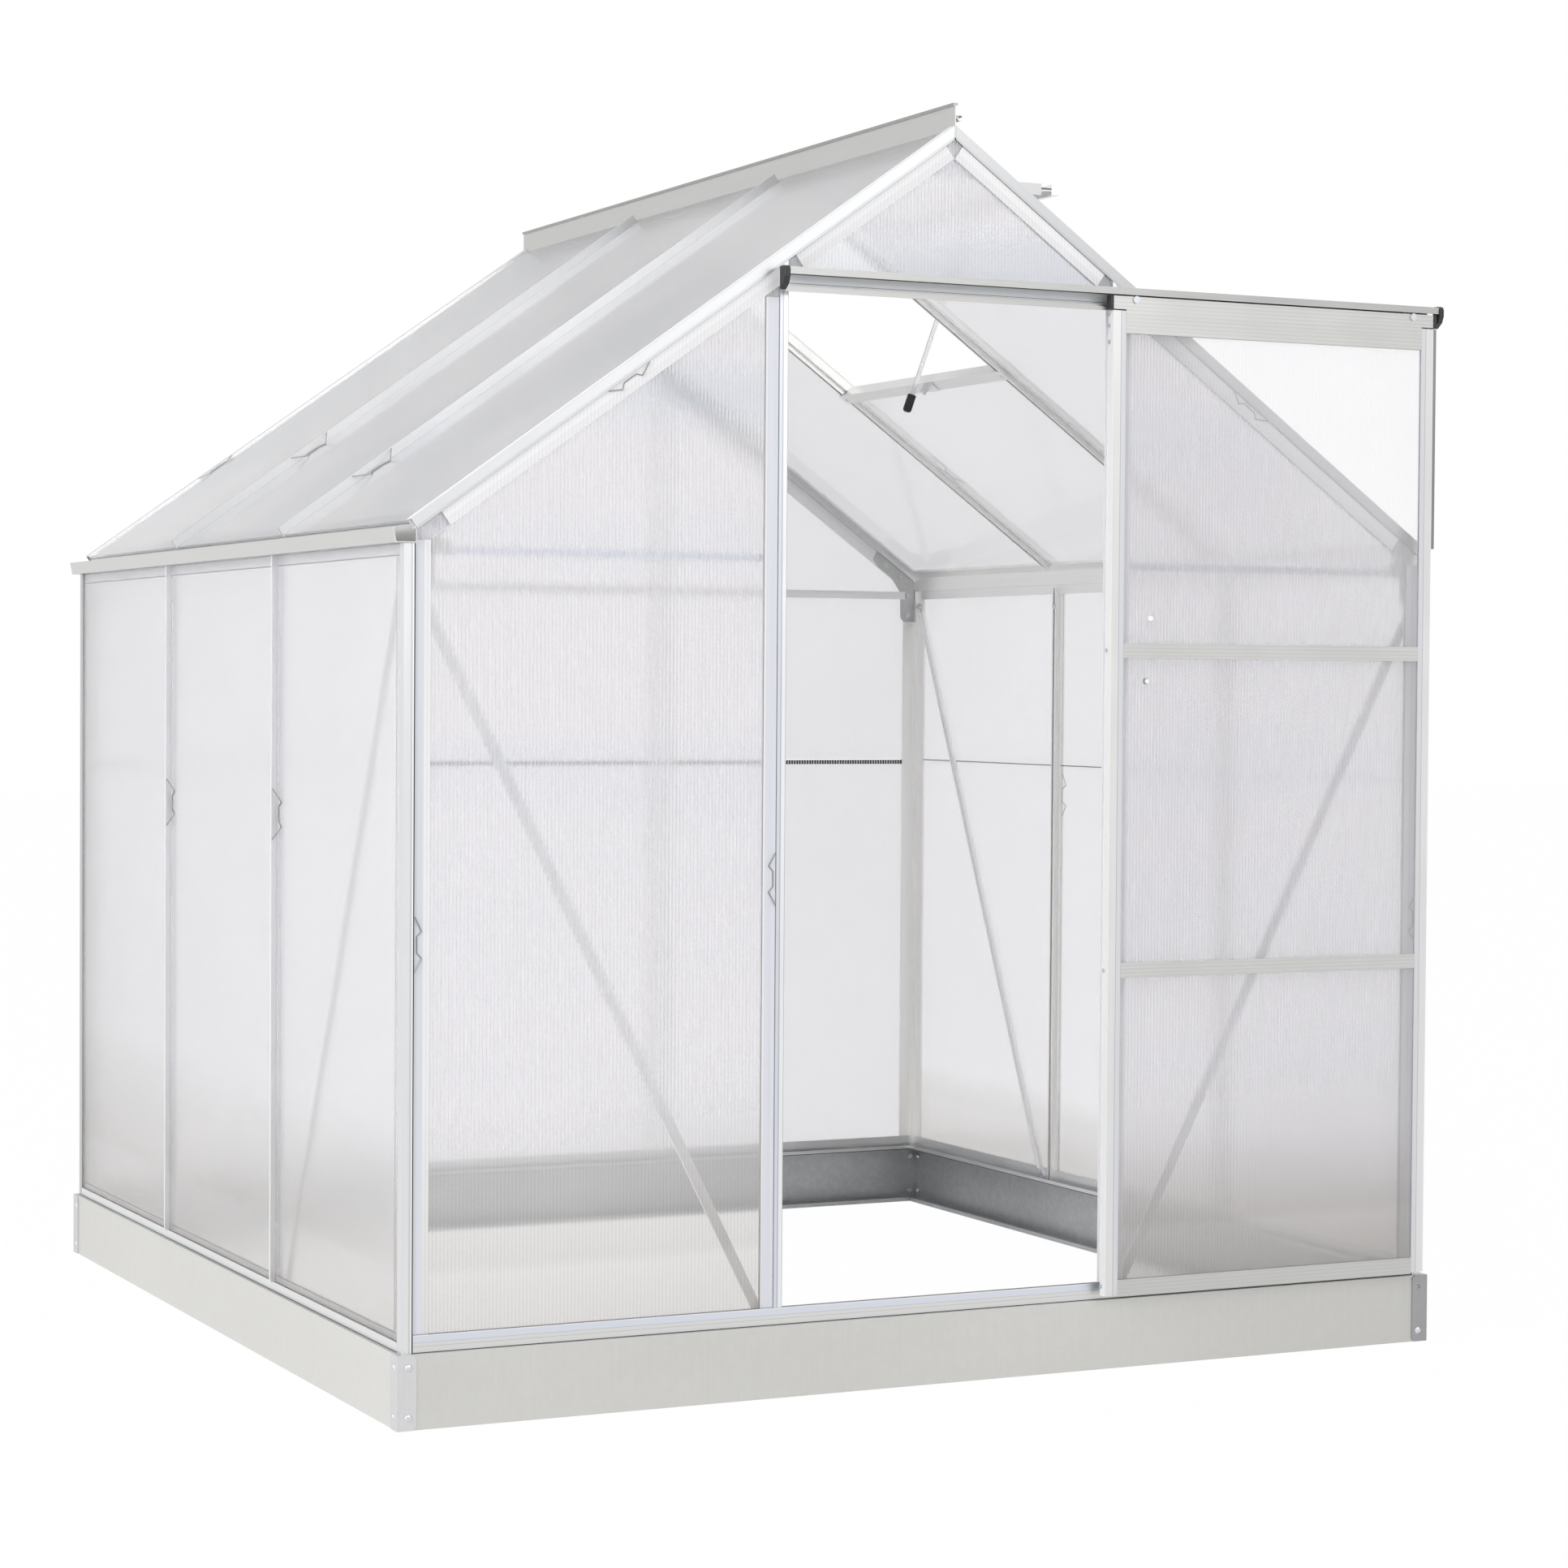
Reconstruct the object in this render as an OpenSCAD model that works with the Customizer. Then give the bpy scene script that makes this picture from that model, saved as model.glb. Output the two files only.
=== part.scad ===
// Walk-in greenhouse on a galvanised base: aluminium glazing frame, twin-wall sheets,
// a top-hung sliding door and one roof vent with its stay. Millimetres, +Z up.
// The door gable faces -Y. The origin is the middle of the base, on the ground.
// Depths written v run inwards from the frame's outer plane; depths written out run outwards.
// On a roof slope, w runs down from the apex, n is the outward normal, and Y is the third axis.

/* [Building] */
// Width over the base corner plates
width = 1840; // [1760:10:2100]
// Length over the base corner plates
length = 1840; // [1700:10:2400]
// Height of the galvanised base
base_h = 112; // [90:1:150]
// Height at which the roof's outer plane meets the wall's outer plane
eave_h = 1333; // [1250:1:1400]
// Pitch of the roof in degrees
pitch = 35.4; // [32:0.2:38]
// Distance from the base corner plates in to the frame's outer plane
frame_in = 9; // [6:0.5:14]

/* [Galvanised base] */
// Sheet thickness of the base rails
steel_t = 1.2; // [0.8:0.1:2]
// Thickness of the corner plates
plate_t = 2; // [1.5:0.1:3]
// Length of each leg of a corner plate
plate_leg = 30; // [26:1:40]
// Width of the rails' top and bottom flanges
base_flange = 30; // [26:1:40]
// Height of the stiffening lip on the bottom flange
base_lip = 8; // [5:1:14]
// Distance between the ground anchor holes of one rail
anchor_span = 1400; // [1000:10:1500]
// Radius of a ground anchor hole
anchor_r = 4.5; // [3:0.1:6]

/* [Glazing] */
// Thickness of the twin-wall sheets
sheet_t = 4; // [3.5:0.1:5]
// Depth of the sheets' outer face behind the frame's outer plane
sheet_in = 3; // [2.5:0.1:4]
// Gap between a sheet's edge and the section beside it
sheet_gap = 0.6; // [0.4:0.1:1]
// Height of the joint between the lower and upper sheets of the rear and right walls
seam_h = 945; // [700:5:1100]
// Height of the opening between those sheets at the joint
seam_gap = 2; // [1:0.1:4]

/* [Aluminium sections] */
// Wall thickness of every extrusion
skin = 1.5; // [1.2:0.1:1.8]
// Side of the square box of the corner posts and gable rafters
box = 18; // [16:0.5:20]
// Width of the flange that a sheet rests on, at a corner section
corner_flange = 25; // [22:0.5:28]
// Height of the ribs that a sheet rests on
rib_h = 2.5; // [2.4:0.1:3.5]
// Width of a glazing bar's flange
bar_w = 28; // [25:0.5:32]
// Thickness of a glazing bar's fin
fin_t = 2; // [1.6:0.1:2.6]
// Width of the bead on a glazing bar's fin
bead_w = 5; // [4:0.1:6]
// How far a wall bar's fin stands out of the frame's outer plane
wall_proud = 7; // [5:0.5:10]
// How far a roof bar's fin stands out of the roof's outer plane
roof_proud = 12; // [9:0.5:14]
// Width of the bolt channel on a glazing bar
channel_w = 13; // [12:0.5:15]
// Depth of the bolt channel on a glazing bar
channel_d = 8; // [6:0.5:9]
// Height of a sill section
sill_h = 27; // [24:0.5:32]
// Height of the outer lip on the side and rear sills
sill_lip = 15; // [10:0.5:18]

/* [Eave and ridge] */
// Height of the skirt that holds the wall sheets, below the gutter
skirt_h = 18; // [14:0.5:24]
// Depth of the gutter
gutter_d = 22; // [18:0.5:24]
// How far the gutter's floor reaches out of the frame's outer plane
gutter_out = 15; // [12:0.5:20]
// How far the gutter's lip leans out further than its floor
gutter_lean = 4; // [2:0.5:6]
// Overrun of the gutters past the frame's end planes
gutter_over = 4; // [2:0.5:8]
// Height of the ridge bar's top above the apex
ridge_up = 34.5; // [30:0.5:40]
// Width of the ridge bar's top bead
ridge_bead = 8; // [6:0.5:10]

/* [Door] */
// Width of the door leaf
door_w = 622; // [600:1:640]
// Overlap of the leaf on each door post
door_lap = 22; // [18:1:26]
// Height of the leaf's lower edge
door_z0 = 122; // [120:1:124]
// Height of the leaf's upper edge
door_z1 = 1726; // [1650:1:1740]
// Distance from the frame's outer plane to the leaf's front face
door_out = 30; // [29:0.5:34]
// Width of the stiles
stile_w = 24; // [22:0.5:28]
// Height of the two middle rails
mid_rail_h = 24; // [20:0.5:30]
// Heights of the middle rails' centre lines
mid_rail_z = [646, 1160];
// Height of the bottom rail
bottom_rail_h = 25; // [22:0.5:30]
// Height of the top rail
top_rail_h = 59; // [54:0.5:70]
// Running radius of a door roller
roller_r = 8; // [7:0.5:9]

/* [Roof vent] */
// Length of the vent, from its hinge to its lower edge
vent_len = 522; // [440:1:560]
// How far the vent stands open, in degrees above the roof slope
vent_open = 35.4; // [0:0.2:36]
// Height of the vent's frame sections
vent_h = 20; // [18:0.5:22]
// Height of the hinge axis above the roof's outer plane
hinge_up = 14; // [13:0.5:15]
// Radius of the hinge bead
hinge_r = 3.4; // [3:0.1:3.6]
// Length of the stay between its pivot and its lower end
stay_len = 362; // [330:1:390]
// Width of the stay
stay_w = 8; // [7:0.5:10]
// Lean of the hanging stay from the vertical, in degrees
stay_lean = 20; // [17:0.2:24]

/* [Hidden] */

$fn = 32;

// Frame planes and bays
fx = width / 2 - frame_in;            // outer plane of the side walls
fy = length / 2 - frame_in;           // outer plane of the gables
rail_x = width / 2 - plate_t;         // outer face of the side base rails
rail_y = length / 2 - plate_t;        // outer face of the gable base rails
bar_y = fy / 3;                       // centre lines of the glazing bars
seat_v = sheet_in + sheet_t + rib_h;  // outer face of every flange
flange_in = seat_v + skin;            // inner face of every flange
seat_fit = 0.3;                       // gap left where sections butt
touch = 0.05;                         // gap left where a sloped face rests on another
inner_x = fx - box;                   // inner faces of the posts' boxes, across
inner_y = fy - box;                   // inner faces of the posts' boxes, along
sill_top = base_h + sill_h;
sill_d = base_flange - 4;             // depth of the sills' feet
gutter_z = eave_h - 28;               // underside of the gutter
skirt_z = gutter_z - skirt_h;         // lower edge of the eave skirt
gutter_back = box + 0.5;              // depth of the gutter's back wall

// Roof
apex_z = eave_h + fx * tan(pitch);
wing_w = 30;                          // reach of the ridge bar's wings down each slope
seat_reach = 16;                      // reach of the eave's seat up each slope, measured across
rafter_w1 = fx / cos(pitch) - 13;     // lower end of the gable rafters
roof_end_w = rafter_w1 - 1;           // lower edge of the roof sheets
seat_w = (fx - box - seat_reach + seat_v * sin(pitch)) / cos(pitch) - 1.5;  // end of roof flanges
mitre = 1.3;                          // gap between a rafter's top cut and the apex plane

// Bolts
bolt_r = 3;
bolt_fit = 0.3;
bolt_head_r = 5.5;
bolt_head_h = 2.2;
gusset_t = 2;
plate_bolt_in = 18;                   // base bolts, in from the corner
plate_bolt_z = [19, base_h - 19];

// Gusset bolts: two on the post flange, two on the rafter flange
post_bolt_x = fx - 35;
post_bolt_z = [gutter_z - 52, gutter_z - 10];
rafter_bolt_x = [fx - 53, fx - 88];
rafter_bolt_u = 30;
ridge_bolt_x = 40;

// Door and track
post_x = door_w / 2 - door_lap;       // edges of the door opening
post_w = 14;                          // width of a door post's box
track_z0 = door_z1 - 21;              // underside of the track
track_z1 = door_z1 + 13;              // top of the track
track_x0 = -(door_w / 2 - 8);
track_x1 = fx - 8;
cap_l = 14;                           // length of a track end cap
door_x = track_x1 - 8 - door_w;       // left edge of the leaf, slid open
door_back = door_out - 15;            // depth of the stiles' rear edge
rail_rib_z = track_z0 + 7.7;          // top of the rib that the rollers run on
roller_z = rail_rib_z + seat_fit + roller_r;
roller_out = 11;                      // centre plane of the rollers
roller_in = 42;                       // rollers, in from the leaf's edges
axle_r = 2.5;
axle_fit = 0.05;
buffer_out = 6;                       // how far the buffers stand out of the leaf's ends
guide_x = post_x + 2;

// Vent
vent_half = bar_y - bead_w / 2 - 1.5; // half width of the vent
vent_z0 = 0.5 - hinge_up;             // underside of the vent's frame, below its hinge axis
vent_bar = 22;                        // width of the vent's top and bottom sections
vent_groove = sheet_t + 0.4;
sill_w = vent_len + 3;                // upper face of the vent sill, down the slope
stay_y = -22;                         // middle plane of the stay
stay_t = 3;
stay_x = vent_len - 9;                // stay pivot, from the hinge axis
stay_z = vent_z0 - 0.3;
handle_l = 33;
stay_step = 50;                       // pitch of the stay's holes

// ---- Helpers -------------------------------------------------------------

module flip_x(on = true) {
  if (on) mirror([1, 0, 0]) children();
  else children();
}

module flip_y(on = true) {
  if (on) mirror([0, 1, 0]) children();
  else children();
}

module both_x() {
  children();
  mirror([1, 0, 0]) children();
}

module both_y() {
  children();
  mirror([0, 1, 0]) children();
}

// A section drawn as (y, z), run along X from x0 to x1
module run_x(x0, x1) {
  translate([x0, 0, 0]) rotate([90, 0, 90]) linear_extrude(x1 - x0) children();
}

// A section drawn as (x, z), run along Y from y0 to y1
module run_y(y0, y1) {
  translate([0, y1, 0]) rotate([90, 0, 0]) linear_extrude(y1 - y0) children();
}

// A section drawn as (x, y), run upwards from z0 to z1
module run_z(z0, z1) {
  translate([0, 0, z0]) linear_extrude(z1 - z0) children();
}

// The right-hand slope's frame: x down the slope, z along its outward normal
module on_slope() {
  translate([0, 0, apex_z]) rotate([0, pitch, 0]) children();
}

// The vent's frame: origin on the hinge axis, x towards the lower edge, z its normal
module on_vent() {
  on_slope() translate([0, 0, hinge_up]) rotate([0, -vent_open, 0]) children();
}

// A rectangle from one corner to the other
module rect(x0, y0, x1, y1) {
  translate([x0, y0]) square([x1 - x0, y1 - y0]);
}

// Height of the plane at depth u under the roof's outer plane, at distance x from the middle
function roof_z(x, u = 0) = apex_z - x * tan(pitch) - u / cos(pitch);

// ---- Sections ------------------------------------------------------------

// Base rail, drawn as (v, z) from the rail's outer face
module base_rail_section() {
  rect(0, 0, steel_t, base_h);
  rect(0, base_h - steel_t, base_flange, base_h);
  rect(0, 0, base_flange, steel_t);
  rect(base_flange - steel_t, 0, base_flange, base_lip);
}

// Sill, drawn as (v, z) above the base, with an outer lip of its own height
module sill_section(lip) {
  rect(0, 0, sill_d, skin);
  rect(0, 0, skin, lip);
  rect(seat_v, 0, flange_in, sill_h);
  rect(seat_v - rib_h, sill_h - skin, flange_in, sill_h);
  rect(sill_d - skin, 0, sill_d, 8);
}

// Square box of a corner post or gable rafter, its outer corner at the origin
module box_section() {
  difference() {
    square(box);
    translate([skin, skin]) square(box - 2 * skin);
  }
}

// Flange with its rib, beside the box, for the sheet in the wall x = 0
module corner_flange_section() {
  rect(seat_v, box - skin, flange_in, box + corner_flange);
  rect(seat_v - rib_h, box + corner_flange - skin, flange_in, box + corner_flange);
}

// Glazing bar parts, drawn as (across, n)
module fin_section(proud) {
  rect(-fin_t / 2, -sheet_in - sheet_t + 0.5, fin_t / 2, proud);
  rect(-bead_w / 2, proud - 2.5, bead_w / 2, proud);
}

module neck_section() {
  rect(-fin_t / 2, -flange_in, fin_t / 2, -sheet_in - sheet_t + 0.5);
  rect(-bar_w / 2, -flange_in, bar_w / 2, -seat_v);
  for (s = [-1, 1]) translate([s * (bar_w - skin) / 2, -seat_v + rib_h / 2])
    square([skin, rib_h], center = true);
}

module channel_section() {
  for (s = [-1, 1]) {
    translate([s * (channel_w - skin) / 2, -flange_in - channel_d / 2])
      square([skin, channel_d], center = true);
    translate([s * (channel_w / 2 - 1.75), -flange_in - channel_d + skin / 2])
      square([3.5, skin], center = true);
  }
}

// Ridge bar, drawn as (x, z)
module ridge_section() {
  rect(-1, apex_z - 20, 1, apex_z + ridge_up - 2);
  translate([0, apex_z + ridge_up - 2]) square([ridge_bead, 4], center = true);
}

// One wing, from the apex down the right-hand slope
module ridge_wing_section() {
  translate([0, apex_z]) rotate(-pitch) {
    rect(4, -flange_in, wing_w, -seat_v);
    rect(wing_w - skin, -seat_v, wing_w, -seat_v + rib_h);
  }
  polygon([[0, roof_z(0, seat_v)], [8, roof_z(8, seat_v)],
    [8, roof_z(8, flange_in)], [0, roof_z(0, flange_in)]]);
}

// C-shaped socket that the vent's hinge bead turns in
module hinge_socket_section() {
  hx = hinge_up * sin(pitch);
  hz = apex_z + hinge_up * cos(pitch);
  rect(0.5, hz - skin / 2, hx - hinge_r - 0.8, hz + skin / 2);
  translate([hx, hz]) difference() {
    circle(hinge_r + 0.3 + skin);
    circle(hinge_r + 0.3);
    polygon([[0, 0], [12, 5], [12, -18], [0, 0]]);
  }
}

// Eave and gutter, drawn as (v, z)
module gutter_section() {
  rect(-gutter_out, gutter_z, gutter_back, gutter_z + skin);
  polygon([[-gutter_out, gutter_z], [-gutter_out - gutter_lean, gutter_z + gutter_d],
    [-gutter_out - gutter_lean + skin, gutter_z + gutter_d],
    [-gutter_out + skin, gutter_z + skin]]);
  rect(-gutter_out - gutter_lean, gutter_z + gutter_d - skin,
    -gutter_out - gutter_lean + 4, gutter_z + gutter_d);
  rect(gutter_back - skin, gutter_z, gutter_back, gutter_z + gutter_d - 1);
}

module eave_seat_section() {
  v0 = gutter_back - skin;
  v1 = box + seat_reach;
  zt = function (v) roof_z(fx - v, seat_v);
  th = (skin - touch) / cos(pitch);
  rise = (rib_h - touch) / cos(pitch);
  rect(v0, gutter_z, v0 + skin, zt(v0));
  polygon([[v0, zt(v0)], [v1, zt(v1)], [v1, zt(v1) - th], [v0, zt(v0) - th]]);
  polygon([[v1 - skin, zt(v1 - skin)], [v1, zt(v1)],
    [v1, zt(v1) + rise], [v1 - skin, zt(v1 - skin) + rise]]);
}

module skirt_section() {
  rect(seat_v, skirt_z, flange_in, gutter_z + skin);
  rect(seat_v - rib_h, skirt_z, flange_in, skirt_z + skin);
}

// ---- Bolts ---------------------------------------------------------------

// Hexagon bolt along +z: head below z = 0, nut on the far side of the grip
module bolt(grip, head_h = bolt_head_h) {
  translate([0, 0, -head_h]) cylinder(r = bolt_head_r, h = head_h, $fn = 6);
  translate([0, 0, -0.2]) cylinder(r = bolt_r, h = grip + 6.2);
  translate([0, 0, grip]) cylinder(r = bolt_head_r, h = 4, $fn = 6);
}

// Hole for a bolt through a plate of thickness t, along +z
module bolt_hole(t) {
  translate([0, 0, -1]) cylinder(r = bolt_r + bolt_fit, h = t + 2);
}

// Places children at (x, z) of the front gable, with +z pointing inwards from depth v
module on_gable(x, z, v) {
  translate([x, -fy + v, z]) rotate([-90, 0, 0]) children();
}

// The same on the left wall, at (y, z)
module on_side(y, z, v) {
  translate([-fx + v, y, z]) rotate([0, 90, 0]) children();
}

// Positions of a left front corner's gusset bolts
module gusset_bolts(v) {
  for (z = post_bolt_z) on_gable(-post_bolt_x, z, v) children();
  for (x = rafter_bolt_x) on_gable(-x, roof_z(x, rafter_bolt_u), v) children();
}

// ---- Base ----------------------------------------------------------------

// Rail along the front edge; its ends are mitred into the side rails
module gable_rail() {
  reach = base_flange + 2;
  color("lightsteelblue") difference() {
    intersection() {
      translate([0, -rail_y, 0]) run_x(-rail_x, rail_x) base_rail_section();
      linear_extrude(base_h) polygon([[-rail_x + seat_fit, -rail_y], [rail_x - seat_fit, -rail_y],
        [rail_x - seat_fit - reach, -rail_y + reach], [-rail_x + seat_fit + reach, -rail_y + reach]]);
    }
    for (s = [-1, 1]) {
      translate([s * anchor_span / 2, -rail_y + base_flange / 2, -1])
        cylinder(r = anchor_r, h = steel_t + 2);
      for (z = plate_bolt_z) translate([s * (width / 2 - plate_bolt_in), -rail_y, z])
        rotate([-90, 0, 0]) bolt_hole(steel_t);
    }
  }
}

module side_rail() {
  reach = base_flange + 2;
  color("lightsteelblue") difference() {
    intersection() {
      translate([-rail_x, 0, 0]) run_y(-rail_y, rail_y) base_rail_section();
      linear_extrude(base_h) polygon([[-rail_x, -rail_y + seat_fit], [-rail_x, rail_y - seat_fit],
        [-rail_x + reach, rail_y - seat_fit - reach], [-rail_x + reach, -rail_y + seat_fit + reach]]);
    }
    for (s = [-1, 1], z = plate_bolt_z)
      translate([-rail_x, s * (length / 2 - plate_bolt_in), z])
        rotate([0, 90, 0]) bolt_hole(steel_t);
  }
}

module base_front() gable_rail();
module base_rear() flip_y() gable_rail();
module base_left() side_rail();
module base_right() flip_x() side_rail();

// One leg of a corner plate, with its free edge's corners cut off
module plate_leg_shape() {
  c = 5;
  polygon([[0, 0], [plate_leg - c, 0], [plate_leg, c], [plate_leg, base_h - c],
    [plate_leg - c, base_h], [0, base_h]]);
}

module corner_plate() {
  difference() {
    union() {
      translate([-width / 2, -rail_y, 0]) rotate([90, 0, 0]) linear_extrude(plate_t)
        plate_leg_shape();
      translate([-rail_x, -length / 2, 0]) rotate([0, 0, 90]) rotate([90, 0, 0])
        mirror([0, 0, 1]) linear_extrude(plate_t) plate_leg_shape();
    }
    for (z = plate_bolt_z) {
      translate([-width / 2 + plate_bolt_in, -length / 2, z]) rotate([-90, 0, 0])
        bolt_hole(plate_t);
      translate([-width / 2, -length / 2 + plate_bolt_in, z]) rotate([0, 90, 0])
        bolt_hole(plate_t);
    }
  }
}

module base_corner_plates() color("silver") both_x() both_y() corner_plate();

// The front right corner's upper front hole is left without its bolt
module base_bolts() {
  grip = plate_t + steel_t;
  color("gainsboro") for (sx = [-1, 1], sy = [-1, 1], z = plate_bolt_z) {
    if (!(sx == 1 && sy == -1 && z == plate_bolt_z[1]))
      translate([sx * (width / 2 - plate_bolt_in), sy * length / 2, z])
        rotate([sy * 90, 0, 0]) bolt(grip, 3);
    translate([sx * width / 2, sy * (length / 2 - plate_bolt_in), z])
      rotate([0, -sx * 90, 0]) bolt(grip, 3);
  }
}

// ---- Sills, posts and bars -------------------------------------------------

module gable_sill(lip) {
  color("gainsboro") translate([0, -fy, base_h])
    run_x(-inner_x + seat_fit, inner_x - seat_fit) sill_section(lip);
}

// A side sill's foot is notched at both ends, clear of the gable sills' feet
module side_sill() {
  notch = box - seat_fit;
  y1 = fy - sill_d - seat_fit;
  color("gainsboro") difference() {
    translate([-fx, 0, base_h]) run_y(-inner_y + seat_fit, inner_y - seat_fit)
      sill_section(sill_lip);
    both_y() translate([-fx + notch, y1, base_h - 1]) cube([sill_d, sill_d, sill_h]);
    side_brace_ends() bolt_hole(skin);
  }
}

module sill_front() {
  difference() {
    gable_sill(sill_h);
    both_x() front_brace_ends() bolt_hole(skin);
  }
}

module sill_rear() flip_y() gable_sill(sill_lip);
module sill_left() side_sill();
module sill_right() flip_x() flip_y() side_sill();

// Corner post at the front left, with the flanges notched clear of sills and eave
module corner_post(front_braced, side_braced) {
  color("whitesmoke") difference() {
    translate([-fx, -fy, 0]) {
      run_z(base_h, gutter_z - seat_fit) box_section();
      run_z(sill_top + seat_fit, skirt_z - seat_fit) corner_flange_section();
      run_z(sill_top + seat_fit, gutter_z - seat_fit)
        rotate(90) mirror([0, 1, 0]) corner_flange_section();
    }
    for (z = post_bolt_z) on_gable(-post_bolt_x, z, seat_v) bolt_hole(skin);
    if (front_braced) front_brace_ends() bolt_hole(skin);
    if (side_braced) side_brace_ends() bolt_hole(skin);
  }
}

module post_front_left() corner_post(true, true);
module post_front_right() flip_x() corner_post(true, false);
module post_rear_left() flip_y() corner_post(false, false);
module post_rear_right() flip_x() flip_y() corner_post(false, true);

// Glazing bar standing in the left wall at y
module wall_bar(y) {
  translate([-fx, y, 0]) rotate(90) {
    run_z(base_h + sill_lip + seat_fit, gutter_z - seat_fit) fin_section(wall_proud);
    run_z(sill_top + seat_fit, skirt_z - seat_fit) neck_section();
    run_z(base_h + 6, gutter_z - 6) channel_section();
  }
}

module wall_bars_left() color("whitesmoke") both_y() wall_bar(bar_y);
module wall_bars_right() flip_x() wall_bars_left();

// Keeps what lies deeper than u under the roof's outer planes
module below_roof(u) {
  intersection() {
    children();
    translate([0, length, 0]) rotate([90, 0, 0]) linear_extrude(2 * length)
      polygon([[-width, 0], [width, 0], [width, roof_z(width, u)], [0, roof_z(0, u)],
        [-width, roof_z(width, u)]]);
  }
}

// Studs of the rear gable, up to the rafters
module rear_studs() {
  color("whitesmoke") {
    below_roof(box + seat_fit) both_x() translate([bar_y, fy, 0])
      run_z(base_h + sill_lip + seat_fit, apex_z) fin_section(wall_proud);
    below_roof(box + corner_flange + seat_fit) both_x() translate([bar_y, fy, 0])
      run_z(sill_top + seat_fit, apex_z) neck_section();
  }
}

// Door post, drawn as (x, v): a slim box at the opening, a flange behind the side sheet
module door_post_section() {
  difference() {
    rect(-post_w, 0, 0, 16);
    rect(-post_w + skin, skin, -skin, 16 - skin);
  }
  rect(-post_w - 22, seat_v, -post_w + skin, flange_in);
  rect(-post_w - 22, seat_v - rib_h, -post_w - 22 + skin, flange_in);
  rect(0, 13, 4, 14.5);
}

// In front of the rafter's flange and rib the post runs on up to the rafter's box
module door_post() {
  color("whitesmoke") {
    below_roof(box + corner_flange + seat_fit) translate([-post_x, -fy, 0])
      run_z(sill_top + seat_fit, apex_z) door_post_section();
    below_roof(box + seat_fit) translate([-post_x, -fy, 0])
      run_z(sill_top + seat_fit, apex_z) intersection() {
        door_post_section();
        rect(-post_w, 0, 0, sheet_in + sheet_t - seat_fit);
      }
  }
}

module door_post_left() door_post();
module door_post_right() flip_x() door_post();

// ---- Eaves, rafters and ridge ------------------------------------------------

module gutter(front_back) {
  y1 = inner_y - seat_fit;
  color("silver") translate([-fx, 0, 0]) {
    run_y(-fy - gutter_over + front_back, fy + gutter_over) gutter_section();
    run_y(-y1, y1) eave_seat_section();
    run_y(-y1, y1) skirt_section();
  }
}

// The right gutter stops short behind the track's support
module gutter_left() gutter(0);
module gutter_right() flip_x() gutter(28);

// Rafter of the front gable on the right-hand slope
module rafter() {
  color("whitesmoke") difference() {
    intersection() {
      on_slope() {
        translate([0, -fy, 0]) {
          run_x(-30, rafter_w1) mirror([0, 1]) box_section();
          run_x(wing_w + seat_fit, seat_w) mirror([0, 1]) rotate(90) mirror([0, 1, 0])
            corner_flange_section();
          run_x(-30, rafter_w1) mirror([0, 1]) corner_flange_section();
        }
      }
      translate([mitre, -fy - 10, gutter_z]) cube([fx + 20, 80, apex_z]);
    }
    for (x = rafter_bolt_x) on_gable(x, roof_z(x, rafter_bolt_u), seat_v) bolt_hole(skin);
    on_gable(ridge_bolt_x, roof_z(ridge_bolt_x, rafter_bolt_u), seat_v) bolt_hole(skin);
  }
}

module rafters_front() both_x() rafter();
module rafters_rear() flip_y() rafters_front();

module roof_bar(y) {
  on_slope() translate([0, y, 0]) {
    run_x(20, rafter_w1 + 1) fin_section(roof_proud);
    run_x(wing_w + seat_fit, seat_w) neck_section();
    run_x(wing_w + 6, seat_w + 6) channel_section();
  }
}

module roof_bars_right() color("whitesmoke") both_y() roof_bar(bar_y);
module roof_bars_left() flip_x() roof_bars_right();

module ridge_bar() {
  y1 = inner_y - seat_fit;
  color("silver") {
    run_y(-fy, fy) ridge_section();
    run_y(-fy, fy) hinge_socket_section();
    both_x() run_y(-y1, y1) ridge_wing_section();
  }
}

// ---- Plates, ties and braces -------------------------------------------------

// Gusset behind the flanges of a corner, drawn for x > 0 as (x, z)
module gusset_shape() {
  xo = fx - gutter_back - seat_fit;
  xi = post_bolt_x - 16;
  xa = fx - 108;
  u0 = box + seat_fit;
  u1 = box + corner_flange - 1;
  polygon([[xo, post_bolt_z[0] - 14], [xo, roof_z(xo, u0)], [xa, roof_z(xa, u0)],
    [xa - 8, roof_z(xa, u0) - 16], [xa + 2, roof_z(xa + 2, u1)],
    [xi - 22, roof_z(xi - 22, u1)], [xi, gutter_z - 4],
    [xi, post_bolt_z[0] - 4], [xi + 8, post_bolt_z[0] - 14]]);
}

module gusset() {
  difference() {
    translate([0, -fy + flange_in, 0]) rotate([90, 0, 0]) mirror([0, 0, 1])
      linear_extrude(gusset_t) gusset_shape();
    mirror([1, 0, 0]) gusset_bolts(flange_in) bolt_hole(gusset_t);
  }
}

module corner_gussets() color("silver") both_x() both_y() gusset();

// Plate that joins two rafters under the ridge
module ridge_plate() {
  xw = ridge_bolt_x + 16;
  u0 = box + seat_fit;
  u1 = box + corner_flange - 1;
  difference() {
    translate([0, -fy + flange_in, 0]) rotate([90, 0, 0]) mirror([0, 0, 1])
      linear_extrude(gusset_t) polygon([[0, roof_z(0, u0)], [xw, roof_z(xw, u0)],
        [xw - 14, roof_z(xw - 14, u1)], [14 - xw, roof_z(xw - 14, u1)], [-xw, roof_z(xw, u0)]]);
    for (s = [-1, 1])
      on_gable(s * ridge_bolt_x, roof_z(ridge_bolt_x, rafter_bolt_u), flange_in)
        bolt_hole(gusset_t);
  }
}

module ridge_plates() color("silver") both_y() ridge_plate();

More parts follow.
